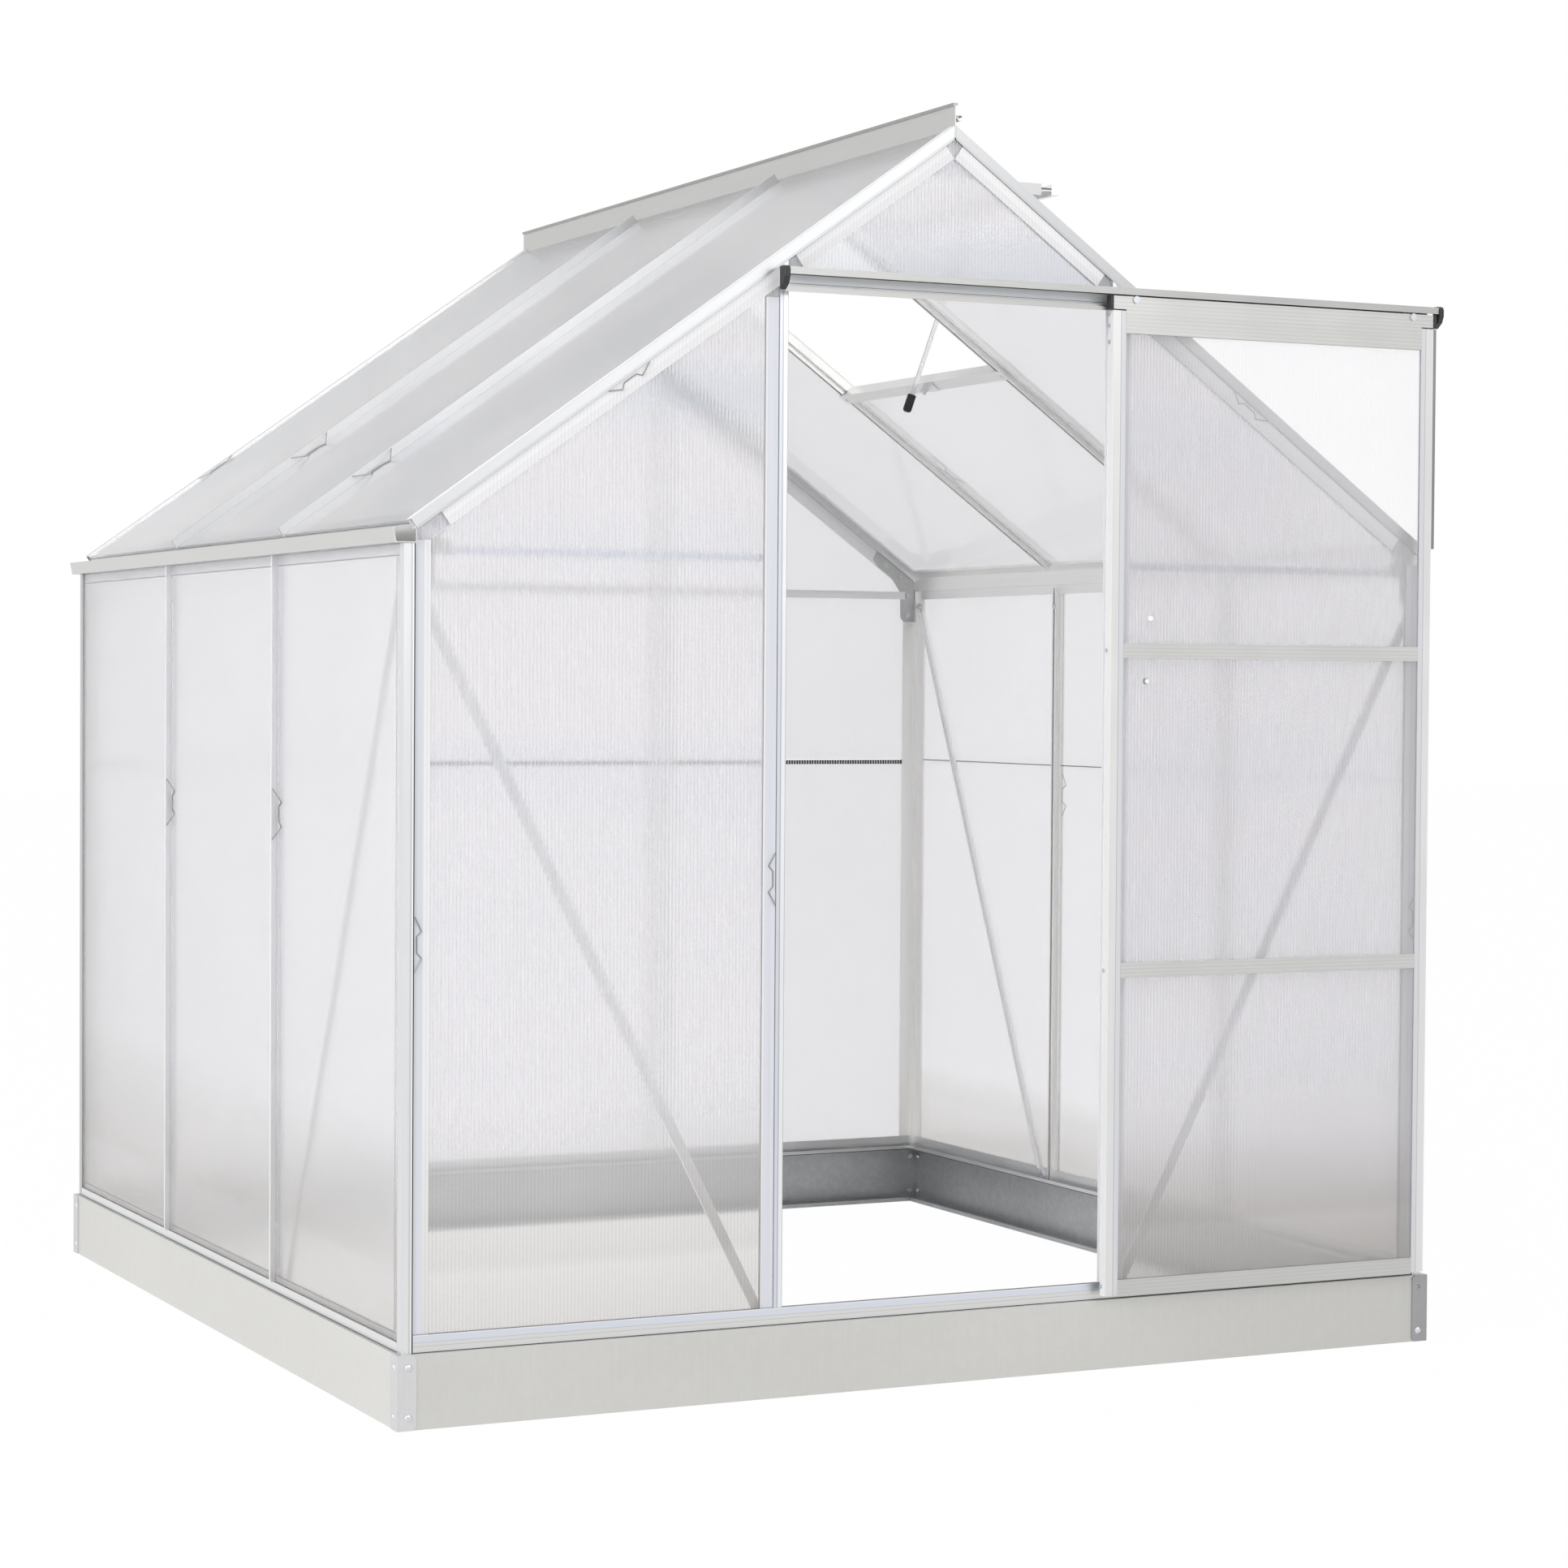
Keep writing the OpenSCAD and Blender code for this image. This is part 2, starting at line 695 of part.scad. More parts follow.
// Tie bars: an angle on the gussets, drawn as (v, z)
tie_v = flange_in + gusset_t;
tie_x1 = post_bolt_x - 6;
front_tie_z = gutter_z - 15;
rear_tie_z = gutter_z - 18;

module tie_section(h) {
  rect(tie_v, 0, tie_v + skin, h);
  rect(tie_v, h - skin, tie_v + 10, h);
}

module tie_bars() {
  color("gainsboro") {
    both_x() translate([0, -fy, front_tie_z]) run_x(post_x + 16, tie_x1) tie_section(12);
    flip_y() translate([0, -fy, rear_tie_z]) run_x(-tie_x1, tie_x1) tie_section(16);
  }
}

// White plastic spacers between the front gussets and the sheets
module tie_pads() {
  color("white") both_x() translate([post_bolt_x - 38, -fy + seat_v - rib_h + 0.2, front_tie_z - 1])
    cube([27, rib_h + skin - 0.4, 24]);
}

// Flat channel between two points of a wall, drawn in (across, height), web outermost
brace_w = 16;
brace_d = 5;
brace_foot_z = 16;                    // brace bolts, above the base
brace_top_z = gutter_z - 83;
side_brace_top_z = skirt_z - 15;
side_brace_y = inner_y - 13;

module brace_bar(a, b) {
  run = norm(b - a);
  dir = atan2(b[1] - a[1], b[0] - a[0]);
  difference() {
    translate([a[0], a[1], 0]) rotate(dir) {
      translate([-9, -brace_w / 2, 0]) cube([run + 18, brace_w, skin]);
      for (s = [-1, 1]) translate([12, s * (brace_w - skin) / 2 - skin / 2, 0])
        cube([run - 24, skin, brace_d]);
    }
    for (p = [a, b]) translate([p[0], p[1], 0]) bolt_hole(skin);
  }
}

// Front brace ends, as (x, height); side brace ends, as (y, height)
front_brace = [[post_bolt_x, brace_top_z], [post_x + 33, base_h + brace_foot_z]];
side_brace = [[side_brace_y, side_brace_top_z],
  [bar_y + bar_w / 2 + 28, base_h + brace_foot_z]];

module front_brace_bar() {
  color("gainsboro") translate([0, -fy + flange_in, 0]) rotate([90, 0, 0]) mirror([0, 0, 1])
    brace_bar(front_brace[0], front_brace[1]);
}

module side_brace_bar() {
  color("gainsboro") translate([fx - flange_in, 0, 0]) rotate([90, 0, 90]) mirror([0, 0, 1])
    brace_bar(side_brace[0], side_brace[1]);
}

module front_braces() both_x() front_brace_bar();

module side_braces() {
  side_brace_bar();
  flip_x() flip_y() side_brace_bar();
}

// Ends of the left front brace, and of the left wall's brace
module front_brace_ends() {
  for (p = front_brace) on_gable(-p[0], p[1], seat_v) children();
}

module side_brace_ends() {
  for (p = side_brace) on_side(-p[0], p[1], seat_v) children();
}

// All frame bolts that join plates, rafters, posts and braces
module frame_bolts() {
  plate_grip = skin + gusset_t;
  color("gainsboro") {
    both_x() both_y() gusset_bolts(seat_v) bolt(plate_grip);
    both_y() for (s = [-1, 1])
      on_gable(s * ridge_bolt_x, roof_z(ridge_bolt_x, rafter_bolt_u), seat_v) bolt(plate_grip);
    both_x() front_brace_ends() bolt(2 * skin);
    side_brace_ends() bolt(2 * skin);
    flip_x() flip_y() side_brace_ends() bolt(2 * skin);
  }
}

// ---- Track and its support ---------------------------------------------------

// Track, drawn as (out, z)
module track_section() {
  rect(0, track_z0, 1.8, track_z1);
  rect(0, track_z1 - skin, door_out + 4, track_z1);
  rect(door_out + 2.5, track_z1 - 11, door_out + 4, track_z1);
  rect(0, track_z0, 18, track_z0 + skin);
  rect(roller_out - 1, track_z0, roller_out + 1, rail_rib_z);
  rect(16.5, track_z0 - 2, 18, track_z0 + 4);
}

module door_track() {
  color("silver") translate([0, -fy, 0]) mirror([0, 1, 0]) run_x(track_x0, track_x1)
    track_section();
}

// End cap outline: a rounded hood above, a narrower tapered part below
module cap_section() {
  r = 6;
  polygon([[0, track_z0 + 4], [6, track_z0], [14, track_z0], [19, track_z0 + 10],
    [19, track_z1 - 12], [0, track_z1 - 12]]);
  rect(0, track_z1 - 12.5, door_out + 6, track_z1 + 2 - r);
  rect(0, track_z1 + 1 - r, door_out + 6 - r, track_z1 + 2);
  translate([door_out + 6 - r, track_z1 + 2 - r]) circle(r);
}

module track_end_caps() {
  color([0.06, 0.06, 0.07]) translate([0, -fy, 0]) mirror([0, 1, 0]) {
    run_x(track_x0 - cap_l, track_x0 - 0.2) cap_section();
    run_x(track_x1 + 0.2, track_x1 + cap_l) cap_section();
  }
}

// Open box section that carries the track's far end above the eave
module track_support() {
  x1 = fx + 3;
  color("lightgray") translate([0, -fy, 0]) mirror([0, 1, 0])
    run_z(eave_h + 4, track_z0 - seat_fit) {
      rect(x1 - 23, 0, x1, skin);
      rect(x1 - skin, 0, x1, 12);
      rect(x1 - 12, 12 - skin, x1, 12);
    }
}

// Nylon hook on the front sill that keeps the leaf from swinging out
module door_guide() {
  z = base_h + 19.5;
  color("white") translate([guide_x, -fy, 0]) {
    translate([0, -door_back - 4.5, z]) cube([10, door_back + 4.5, 2.5]);
    translate([0, -door_back - 4.5, z - 6]) cube([10, 2.5, 6.5]);
  }
}

// ---- Sheets ------------------------------------------------------------------

// Sheet lying in the left wall between y0 and y1, z0 and z1
module side_sheet(y0, y1, z0, z1) {
  translate([-fx + sheet_in, y0, z0]) cube([sheet_t, y1 - y0, z1 - z0]);
}

// Edges of the three bays: [from, to] along Y
bay_edges = [[-inner_y + sheet_gap, -bar_y - fin_t / 2 - sheet_gap],
  [-bar_y + fin_t / 2 + sheet_gap, bar_y - fin_t / 2 - sheet_gap],
  [bar_y + fin_t / 2 + sheet_gap, inner_y - sheet_gap]];
sheet_z0 = base_h + skin + 0.5;
wall_sheet_z1 = gutter_z - 0.8;

module sheets_left() {
  color([0.9, 0.92, 0.95, 0.5]) for (b = bay_edges)
    side_sheet(b[0], b[1], sheet_z0, wall_sheet_z1);
}

module sheets_right() {
  color([0.9, 0.92, 0.95, 0.5]) flip_x() for (b = bay_edges) {
    side_sheet(b[0], b[1], sheet_z0, seam_h);
    side_sheet(b[0], b[1], seam_h + seam_gap, wall_sheet_z1);
  }
}

module roof_sheet(b, w0) {
  on_slope() translate([w0, b[0], -sheet_in - sheet_t]) cube([roof_end_w - w0, b[1] - b[0], sheet_t]);
}

module sheets_roof_left() {
  color([0.9, 0.92, 0.95, 0.5]) flip_x() for (b = bay_edges) roof_sheet(b, 9);
}

module sheets_roof_right() {
  color([0.9, 0.92, 0.95, 0.5]) {
    roof_sheet(bay_edges[0], 9);
    roof_sheet(bay_edges[1], sill_w + 4);
    roof_sheet(bay_edges[2], 9);
  }
}

// A gable sheet between x0 and x1, from z0 up to the rafters or to z1
module gable_sheet(x0, x1, z0, z1 = 1e4) {
  u = box + sheet_gap;
  top = function (x) min(z1, roof_z(abs(x), u));
  mid = x0 < 0 && x1 > 0 && z1 > apex_z ? [[0, top(0)]] : [];
  translate([0, -fy + sheet_in + sheet_t, 0]) rotate([90, 0, 0]) linear_extrude(sheet_t)
    polygon(concat([[x0, z0], [x1, z0], [x1, top(x1)]], mid, [[x0, top(x0)]]));
}

module sheets_front() {
  x0 = post_x + 14 + sheet_gap;
  x1 = inner_x - sheet_gap;
  color([0.9, 0.92, 0.95, 0.5]) {
    both_x() gable_sheet(x0, x1, sheet_z0);
    gable_sheet(-x0 + 2 * sheet_gap + 14, x0 - 2 * sheet_gap - 14, track_z0 + 3);
  }
}

module sheets_rear() {
  xb = bar_y - fin_t / 2 - sheet_gap;
  xc = bar_y + fin_t / 2 + sheet_gap;
  x1 = inner_x - sheet_gap;
  color([0.9, 0.92, 0.95, 0.5]) flip_y() {
    gable_sheet(-xb, xb, sheet_z0, seam_h);
    gable_sheet(-xb, xb, seam_h + seam_gap);
    both_x() {
      gable_sheet(xc, x1, sheet_z0, seam_h);
      gable_sheet(xc, x1, seam_h + seam_gap);
    }
  }
}

// ---- Door --------------------------------------------------------------------

// The leaf's frame: x from its left edge, y out of the wall, z up
module on_door() {
  translate([door_x, -fy, 0]) mirror([0, 1, 0]) children();
}

front_v = door_out - skin;
lip_v = front_v - 0.5 - sheet_t - skin;  // front face of the lips behind the sheets, less the skin
stile_top = track_z0 - 2 - seat_fit;
leaf_gap = 0.2;

module stile_section() {
  rect(0, front_v, stile_w, door_out);
  rect(0, door_back, skin, door_out);
  rect(0, lip_v - 0.2, stile_w - 1, lip_v - 0.2 + skin);
  rect(0, door_back, 8, door_back + skin);
}

module door_stiles() {
  color("whitesmoke") on_door() difference() {
    union() {
      run_z(door_z0, stile_top) stile_section();
      translate([door_w, 0, 0]) mirror([1, 0, 0]) run_z(door_z0, stile_top) stile_section();
    }
    for (z = edge_screw_z) translate([-1, door_back + 4, z]) rotate([0, 90, 0])
      cylinder(r = 1.7, h = 3);
  }
}

// Middle rail, drawn as (out, z) about its centre line
module mid_rail_section() {
  h = mid_rail_h / 2;
  rect(front_v, -h, door_out, h);
  rect(lip_v, -0.75, front_v, 0.75);
  rect(lip_v - 0.2, -h + 2, lip_v - 0.2 + skin, h - 2);
  for (z = [-6, 0, 6]) rect(door_out - 0.2, z - 0.6, door_out + 0.5, z + 0.6);
}

// Bottom rail: the sheet's seat above, the guide's channel below
module bottom_rail_section() {
  z = door_z0;
  rect(front_v, z, door_out, z + bottom_rail_h);
  rect(door_back - 1, z, door_out, z + skin);
  rect(door_back - 1, z, door_back - 1 + skin, z + 7);
  rect(lip_v - 0.2, z + 14, front_v + 0.1, z + 14 + skin);
  rect(lip_v - 0.2, z + 14, lip_v - 0.2 + skin, z + bottom_rail_h);
}

module door_lower_rails() {
  x0 = stile_w + leaf_gap;
  color("whitesmoke") on_door() {
    run_x(x0, door_w - x0) bottom_rail_section();
    for (z = mid_rail_z) translate([0, 0, z]) run_x(x0, door_w - x0) mid_rail_section();
  }
}

top_rail_z0 = door_z1 - top_rail_h;

// Upper part of the top rail: a closed box with the hanger bolts through it
module top_rail_box_section() {
  difference() {
    rect(door_out - 10, stile_top + 2 + leaf_gap, door_out, door_z1);
    rect(door_out - 10 + skin, stile_top + 2 + leaf_gap + skin, door_out - skin, door_z1 - skin);
  }
}

module top_rail_skirt_section() {
  rect(front_v, top_rail_z0, door_out, stile_top + 2 + leaf_gap + skin);
  rect(lip_v - 0.2, top_rail_z0 + 17, front_v + 0.1, top_rail_z0 + 17 + skin);
  rect(lip_v - 0.2, top_rail_z0, lip_v - 0.2 + skin, top_rail_z0 + 17 + skin);
  for (z = [5:6:32]) rect(door_out - 0.2, top_rail_z0 + z, door_out + 0.5, top_rail_z0 + z + 1.5);
}

module door_top_rail() {
  x0 = stile_w + leaf_gap;
  color("whitesmoke") on_door() difference() {
    union() {
      run_x(0, door_w) top_rail_box_section();
      run_x(x0, door_w - x0) top_rail_skirt_section();
    }
    for (x = [roller_in, door_w - roller_in]) translate([x, door_out - 12, roller_z])
      rotate([-90, 0, 0]) cylinder(r = axle_r + bolt_fit, h = 14);
  }
}

module door_sheets() {
  z = concat([door_z0 + 16], mid_rail_z, [top_rail_z0 + 16]);
  x0 = 2.2;
  color([0.9, 0.92, 0.95, 0.5]) on_door() difference() {
    for (i = [0 : 2]) {
      z0 = i == 0 ? z[0] : z[i] + 1.3;
      z1 = i == 2 ? z[3] : z[i + 1] - 1.3;
      translate([x0, front_v - sheet_t - 0.2, z0]) cube([door_w - 2 * x0, sheet_t, z1 - z0]);
    }
    for (i = [0, 1]) on_pull(i) cylinder(r = 2.3, h = sheet_t + 2, center = true);
  }
}

edge_screw_z = [stile_top - 6, stile_top - 24, stile_top - 50, mid_rail_z[1], mid_rail_z[0],
  door_z0 + 15];

// Hanger bolts with their spacers, hanger blocks, edge screws and the two pull caps
module door_fittings() {
  color([0.75, 0.75, 0.77]) on_door() {
    for (x = [roller_in, door_w - roller_in]) translate([x, 0, roller_z]) rotate([-90, 0, 0]) {
      translate([0, 0, 5.2]) cylinder(r = axle_r, h = door_out - 4.2);
      translate([0, 0, 3.4]) cylinder(r = 4, h = 2.6);
      translate([0, 0, roller_out + 5]) cylinder(r = 4.5, h = door_out - 10 - roller_out - 5);
      translate([0, 0, door_out]) cylinder(r = 6, h = 3);
    }
    for (z = edge_screw_z) translate([0, door_back + 4, z]) rotate([0, -90, 0]) {
      cylinder(r = 3.5, h = 1.6);
      translate([0, 0, -9]) cylinder(r = 1.5, h = 9.5);
    }
    on_pull(0) pull_screw();
    on_pull(1) mirror([0, 0, 1]) pull_screw();
  }
}

// The two screws through the middle sheet, as (x, z) on the leaf
pull_at = [[75, mid_rail_z[1] + 52], [69, mid_rail_z[1] - 49]];

module on_pull(i) {
  translate([pull_at[i][0], front_v - 0.2 - sheet_t / 2, pull_at[i][1]]) rotate([-90, 0, 0])
    children();
}

module pull_screw() {
  translate([0, 0, sheet_t / 2]) cylinder(r1 = 5, r2 = 4, h = 2.4);
  translate([0, 0, -sheet_t / 2 - 2.2]) cylinder(r = 2, h = sheet_t + 3);
  translate([0, 0, -sheet_t / 2 - 2.2]) cylinder(r = 4, h = 2.2, $fn = 6);
}

// Black plastic plugs in the ends of the top rail; they meet the track's end caps
module door_buffers() {
  color([0.06, 0.06, 0.07]) on_door() for (s = [0, 1])
    translate([s * door_w, 0, 0]) mirror([s, 0, 0]) {
      translate([-buffer_out, door_out - 10.5, stile_top + 1.5])
        cube([buffer_out - leaf_gap, 12, door_z1 - stile_top - 1]);
      translate([-1, door_out - 10 + skin + leaf_gap, stile_top + 2 + skin + 2 * leaf_gap])
        cube([10, 10 - 2 * skin - 2 * leaf_gap, door_z1 - stile_top - 2 - 2 * skin - 3 * leaf_gap]);
    }
}

// Grooved nylon roller about the Y axis, its middle plane at y = 0
module roller() {
  half = 4.5;
  color("white") rotate([90, 0, 0]) rotate_extrude($fn = 48) difference() {
    rect(axle_r + axle_fit, -half, roller_r + 2.5, half);
    polygon([[roller_r, -1.3], [roller_r + 4, -4], [roller_r + 4, 4], [roller_r, 1.3]]);
  }
}

module roller_left() translate([door_x + roller_in, -fy - roller_out, roller_z]) roller();
module roller_right() translate([door_x + door_w - roller_in, -fy - roller_out, roller_z]) roller();

// ---- Vent and stay -----------------------------------------------------------

// Sill across the lower edge of the vent opening, bolted under the bars' channels
module vent_sill() {
  under = -flange_in - channel_d;
  y0 = bar_y - bar_w / 2 - seat_fit;
  color("gainsboro") on_slope() {
    run_y(-y0, y0) {
      rect(sill_w, under - skin, sill_w + skin, -0.8);
      rect(sill_w, -0.8 - skin, sill_w + 18, -0.8);
      rect(sill_w, -sheet_in - sheet_t - 0.3 - skin, sill_w + 18, -sheet_in - sheet_t - 0.3);
    }
    translate([sill_w, -bar_y - bar_w / 2, under - skin]) cube([24, 2 * bar_y + bar_w, skin]);
  }
}

// Catch on the vent sill, with the peg that the stay's holes drop over
module stay_catch() {
  under = -flange_in - channel_d - skin;
  color("silver") on_slope() {
    translate([sill_w + 2, stay_y - 38, under - 2]) cube([22, 34, 2]);
    translate([sill_w + 2, stay_y - 8, under - 16]) cube([14, 2, 15]);
    translate([sill_w + 9, stay_y - 7, under - 10]) rotate([-90, 0, 0]) cylinder(r = 2, h = 5);
  }
}

// Vent sections, drawn as (x, z) from the hinge axis
module vent_top_section() {
  g1 = 0.2;
  g0 = g1 - vent_groove;
  circle(hinge_r);
  rect(0, -1, 9, 1);
  rect(8, vent_z0 + 4, 8 + skin, vent_z0 + vent_h);
  rect(8, g1, vent_bar + 4, g1 + skin);
  rect(8, g0 - skin, vent_bar + 4, g0);
}

module vent_bottom_section() {
  g1 = 0.2;
  g0 = g1 - vent_groove;
  rect(vent_len - skin, vent_z0, vent_len, vent_z0 + vent_h);
  rect(vent_len - vent_bar, g1, vent_len, g1 + skin);
  rect(vent_len - vent_bar, g0 - skin, vent_len, g0);
  rect(vent_len - skin, vent_z0 + 1.5, vent_len + 14, vent_z0 + 3);
}

// Side section, drawn as (inwards, z)
module vent_side_section() {
  g1 = 0.2;
  g0 = g1 - vent_groove;
  rect(0, vent_z0, skin, vent_z0 + vent_h);
  rect(0, g1, 12, g1 + skin);
  rect(0, g0 - skin, 12, g0);
}

// Bracket under the lower section, with the stay's pivot pin
module stay_bracket() {
  y0 = stay_y - stay_t / 2 - 0.4;
  translate([stay_x - 6, y0 - 2, stay_z - 6]) cube([12, 2, 7 - stay_z + 0.2 - vent_groove - skin]);
  translate([stay_x, y0 - 1, stay_z]) rotate([-90, 0, 0]) cylinder(r = 2.45, h = stay_t + 3);
}

module vent_hinge_rail() {
  color("gainsboro") on_vent() run_y(-vent_half, vent_half) vent_top_section();
}

module vent_side_rails() {
  color("gainsboro") on_vent() both_y() translate([0, -vent_half, 0])
    run_x(vent_bar + 4 + leaf_gap, vent_len - vent_bar - leaf_gap) vent_side_section();
}

module vent_bottom_rail() {
  color("gainsboro") on_vent() {
    run_y(-vent_half, vent_half) vent_bottom_section();
    stay_bracket();
  }
}

module vent_sheet() {
  y1 = vent_half - skin - 0.7;
  color([0.9, 0.92, 0.95, 0.5]) on_vent() translate([8 + skin + 0.5, -y1, -sheet_t])
    cube([vent_len - 8 - 2 * skin - 1, 2 * y1, sheet_t]);
}

// The stay hangs from its pivot: x across, z down along its length
module on_stay() {
  on_vent() translate([stay_x, stay_y, stay_z]) rotate([0, vent_open - pitch + stay_lean, 0])
    children();
}

module stay_arm() {
  color("silver") on_stay() rotate([90, 0, 0]) difference() {
    linear_extrude(stay_t, center = true) {
      circle(stay_w / 2 + 1);
      rect(-stay_w / 2, -stay_len - handle_l + 6, stay_w / 2, 0);
    }
    cylinder(r = 2.5, h = 10, center = true);
    for (i = [3 : 6]) translate([0, -i * stay_step, 0]) cylinder(r = 2.5, h = 10, center = true);
  }
}

module stay_handle() {
  color([0.06, 0.06, 0.07]) on_stay() difference() {
    translate([0, 0, -stay_len - handle_l]) {
      translate([0, 0, 3]) cylinder(r = 8, h = handle_l - 4);
      cylinder(r1 = 6, r2 = 8, h = 3.01);
    }
    translate([-stay_w / 2 - 0.1, -stay_t / 2 - 0.1, -stay_len - handle_l + 5.8])
      cube([stay_w + 0.2, stay_t + 0.2, handle_l + 10]);
  }
}

// ---- Assembly ------------------------------------------------------------------

base_front();
base_rear();
base_left();
base_right();
base_corner_plates();
base_bolts();
sill_front();
sill_rear();
sill_left();
sill_right();
post_front_left();
post_front_right();
post_rear_left();
post_rear_right();
wall_bars_left();
wall_bars_right();
rear_studs();
door_post_left();
door_post_right();
gutter_left();
gutter_right();
rafters_front();
rafters_rear();
roof_bars_left();
roof_bars_right();
ridge_bar();
ridge_plates();
corner_gussets();
tie_bars();
tie_pads();
front_braces();
side_braces();
frame_bolts();
track_support();
door_track();
track_end_caps();
door_guide();
sheets_left();
sheets_right();
sheets_roof_left();
sheets_roof_right();
sheets_front();
sheets_rear();
vent_sill();
stay_catch();
door_stiles();
door_top_rail();
door_lower_rails();
door_sheets();
door_fittings();
door_buffers();
roller_left();
roller_right();
vent_hinge_rail();
vent_side_rails();
vent_bottom_rail();
vent_sheet();
stay_arm();
stay_handle();
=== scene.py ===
"""A small walk-in greenhouse: aluminium glazing bars and twin-wall sheets on a galvanised base,
with a sliding door and a roof vent."""

import math

import bmesh
import bpy
from mathutils import Matrix, Vector


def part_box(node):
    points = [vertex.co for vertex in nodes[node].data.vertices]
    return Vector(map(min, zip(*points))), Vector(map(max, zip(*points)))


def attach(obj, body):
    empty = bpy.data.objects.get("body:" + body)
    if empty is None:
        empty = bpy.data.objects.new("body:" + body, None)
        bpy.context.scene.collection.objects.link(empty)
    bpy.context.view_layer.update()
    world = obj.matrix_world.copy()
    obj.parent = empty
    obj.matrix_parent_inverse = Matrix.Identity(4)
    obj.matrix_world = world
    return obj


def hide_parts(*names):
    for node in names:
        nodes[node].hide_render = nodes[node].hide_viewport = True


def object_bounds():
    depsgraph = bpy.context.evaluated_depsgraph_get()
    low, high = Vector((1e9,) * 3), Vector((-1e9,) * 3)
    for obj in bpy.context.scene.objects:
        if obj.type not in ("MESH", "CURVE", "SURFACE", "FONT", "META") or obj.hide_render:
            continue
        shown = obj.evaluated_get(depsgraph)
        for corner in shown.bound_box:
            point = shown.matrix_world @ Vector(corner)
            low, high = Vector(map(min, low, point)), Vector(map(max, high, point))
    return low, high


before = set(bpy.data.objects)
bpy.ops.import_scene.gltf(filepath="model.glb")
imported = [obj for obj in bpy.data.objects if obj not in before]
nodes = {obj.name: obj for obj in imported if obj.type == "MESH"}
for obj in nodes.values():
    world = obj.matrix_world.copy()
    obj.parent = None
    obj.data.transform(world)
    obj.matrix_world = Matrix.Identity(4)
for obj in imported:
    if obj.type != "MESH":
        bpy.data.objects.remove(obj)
cad_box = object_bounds()

# ---- Camera and studio -------------------------------------------------------------------
# A standing viewer looks across the front left corner. Two soft boxes and a pale sky light
# the house evenly, over a white floor that keeps only a soft shadow.

camera = bpy.data.objects.new("viewer", bpy.data.cameras.new("viewer"))
bpy.context.scene.collection.objects.link(camera)
bpy.context.scene.camera = camera
camera.data.sensor_width = 36.0
camera.data.lens = 82.19
camera.data.clip_end = 60.0
yaw, dip, lean = math.radians(25.8905), math.radians(1.5229), math.radians(0.3878)
ahead = Vector((math.sin(yaw) * math.cos(dip), math.cos(yaw) * math.cos(dip), -math.sin(dip)))
level = Vector((math.cos(yaw), -math.sin(yaw), 0.0))
above = level.cross(ahead)
across = math.cos(lean) * level + math.sin(lean) * above
upward = -math.sin(lean) * level + math.cos(lean) * above
turn = Matrix((across, upward, -ahead)).transposed().to_4x4()
camera.matrix_world = Matrix.Translation((-2.6973, -5.8683, 1.0949)) @ turn


class Wire:
    """A shader output on which arithmetic can be written."""

    def __init__(self, finish, socket):
        self.finish, self.socket = finish, socket

    def math(self, operation, *values):
        return self.finish.node("ShaderNodeMath", {"operation": operation}, *values)

    def __add__(self, other): return self.math("ADD", self, other)
    def __radd__(self, other): return self.math("ADD", other, self)
    def __sub__(self, other): return self.math("SUBTRACT", self, other)
    def __rsub__(self, other): return self.math("SUBTRACT", other, self)
    def __mul__(self, other): return self.math("MULTIPLY", self, other)
    def __rmul__(self, other): return self.math("MULTIPLY", other, self)
    def __gt__(self, other): return self.math("GREATER_THAN", self, other)
    def __lt__(self, other): return self.math("LESS_THAN", self, other)
    def __abs__(self): return self.math("ABSOLUTE", self)


class Finish:
    """One material or world, with a method that adds any node and fills its sockets."""

    def __init__(self, owner):
        self.owner, self.tree = owner, owner.node_tree

    def fill(self, socket, value):
        if isinstance(value, Wire):
            self.tree.links.new(value.socket, socket)
        elif isinstance(value, tuple) and len(value) == 3 and len(socket.default_value) == 4:
            socket.default_value = (*value, 1.0)
        else:
            socket.default_value = value

    def node(self, kind, settings, *values, out=0, **named):
        made = self.tree.nodes.new(kind)
        for key, value in settings.items():
            setattr(made, key, value)
        for socket, value in zip(made.inputs, values):
            self.fill(socket, value)
        for key, value in named.items():
            self.fill(made.inputs[key.replace("_", " ")], value)
        return Wire(self, made.outputs[out])

    def place(self):
        """Object coordinates, in metres."""
        return self.node("ShaderNodeTexCoord", {}, out=3)

    def axis(self, vector, index):
        return self.node("ShaderNodeSeparateXYZ", {}, vector, out=index)

    def stretch(self, vector, scale, turn=(0.0, 0.0, 0.0)):
        return self.node("ShaderNodeMapping", {}, vector, Scale=scale, Rotation=turn)

    def noise(self, vector, scale, detail=2.0, rough=0.5):
        return self.node("ShaderNodeTexNoise", {}, Vector=vector, Scale=scale, Detail=detail,
                         Roughness=rough)

    def range(self, value, low, high, to_low, to_high):
        return self.node("ShaderNodeMapRange", {}, value, low, high, to_low, to_high)

    def blend(self, amount, first, second):
        made = self.tree.nodes.new("ShaderNodeMix")
        made.data_type = "RGBA"
        self.fill(made.inputs[0], amount)
        self.fill(made.inputs[6], first)
        self.fill(made.inputs[7], second)
        return Wire(self, made.outputs[2])

    def wave(self, value, pitch):
        """A cosine that repeats at every pitch."""
        return self.node("ShaderNodeMath", {"operation": "COSINE"}, value * (2.0 * math.pi / pitch))

    def outreach(self, place):
        """How far out a face lies, along X or along Y, whichever is more."""
        return self.node("ShaderNodeMath", {"operation": "MAXIMUM"}, abs(self.axis(place, 0)),
                         abs(self.axis(place, 1)))

    def bump(self, height, strength, distance):
        return self.node("ShaderNodeBump", {}, Strength=strength, Distance=distance, Height=height)


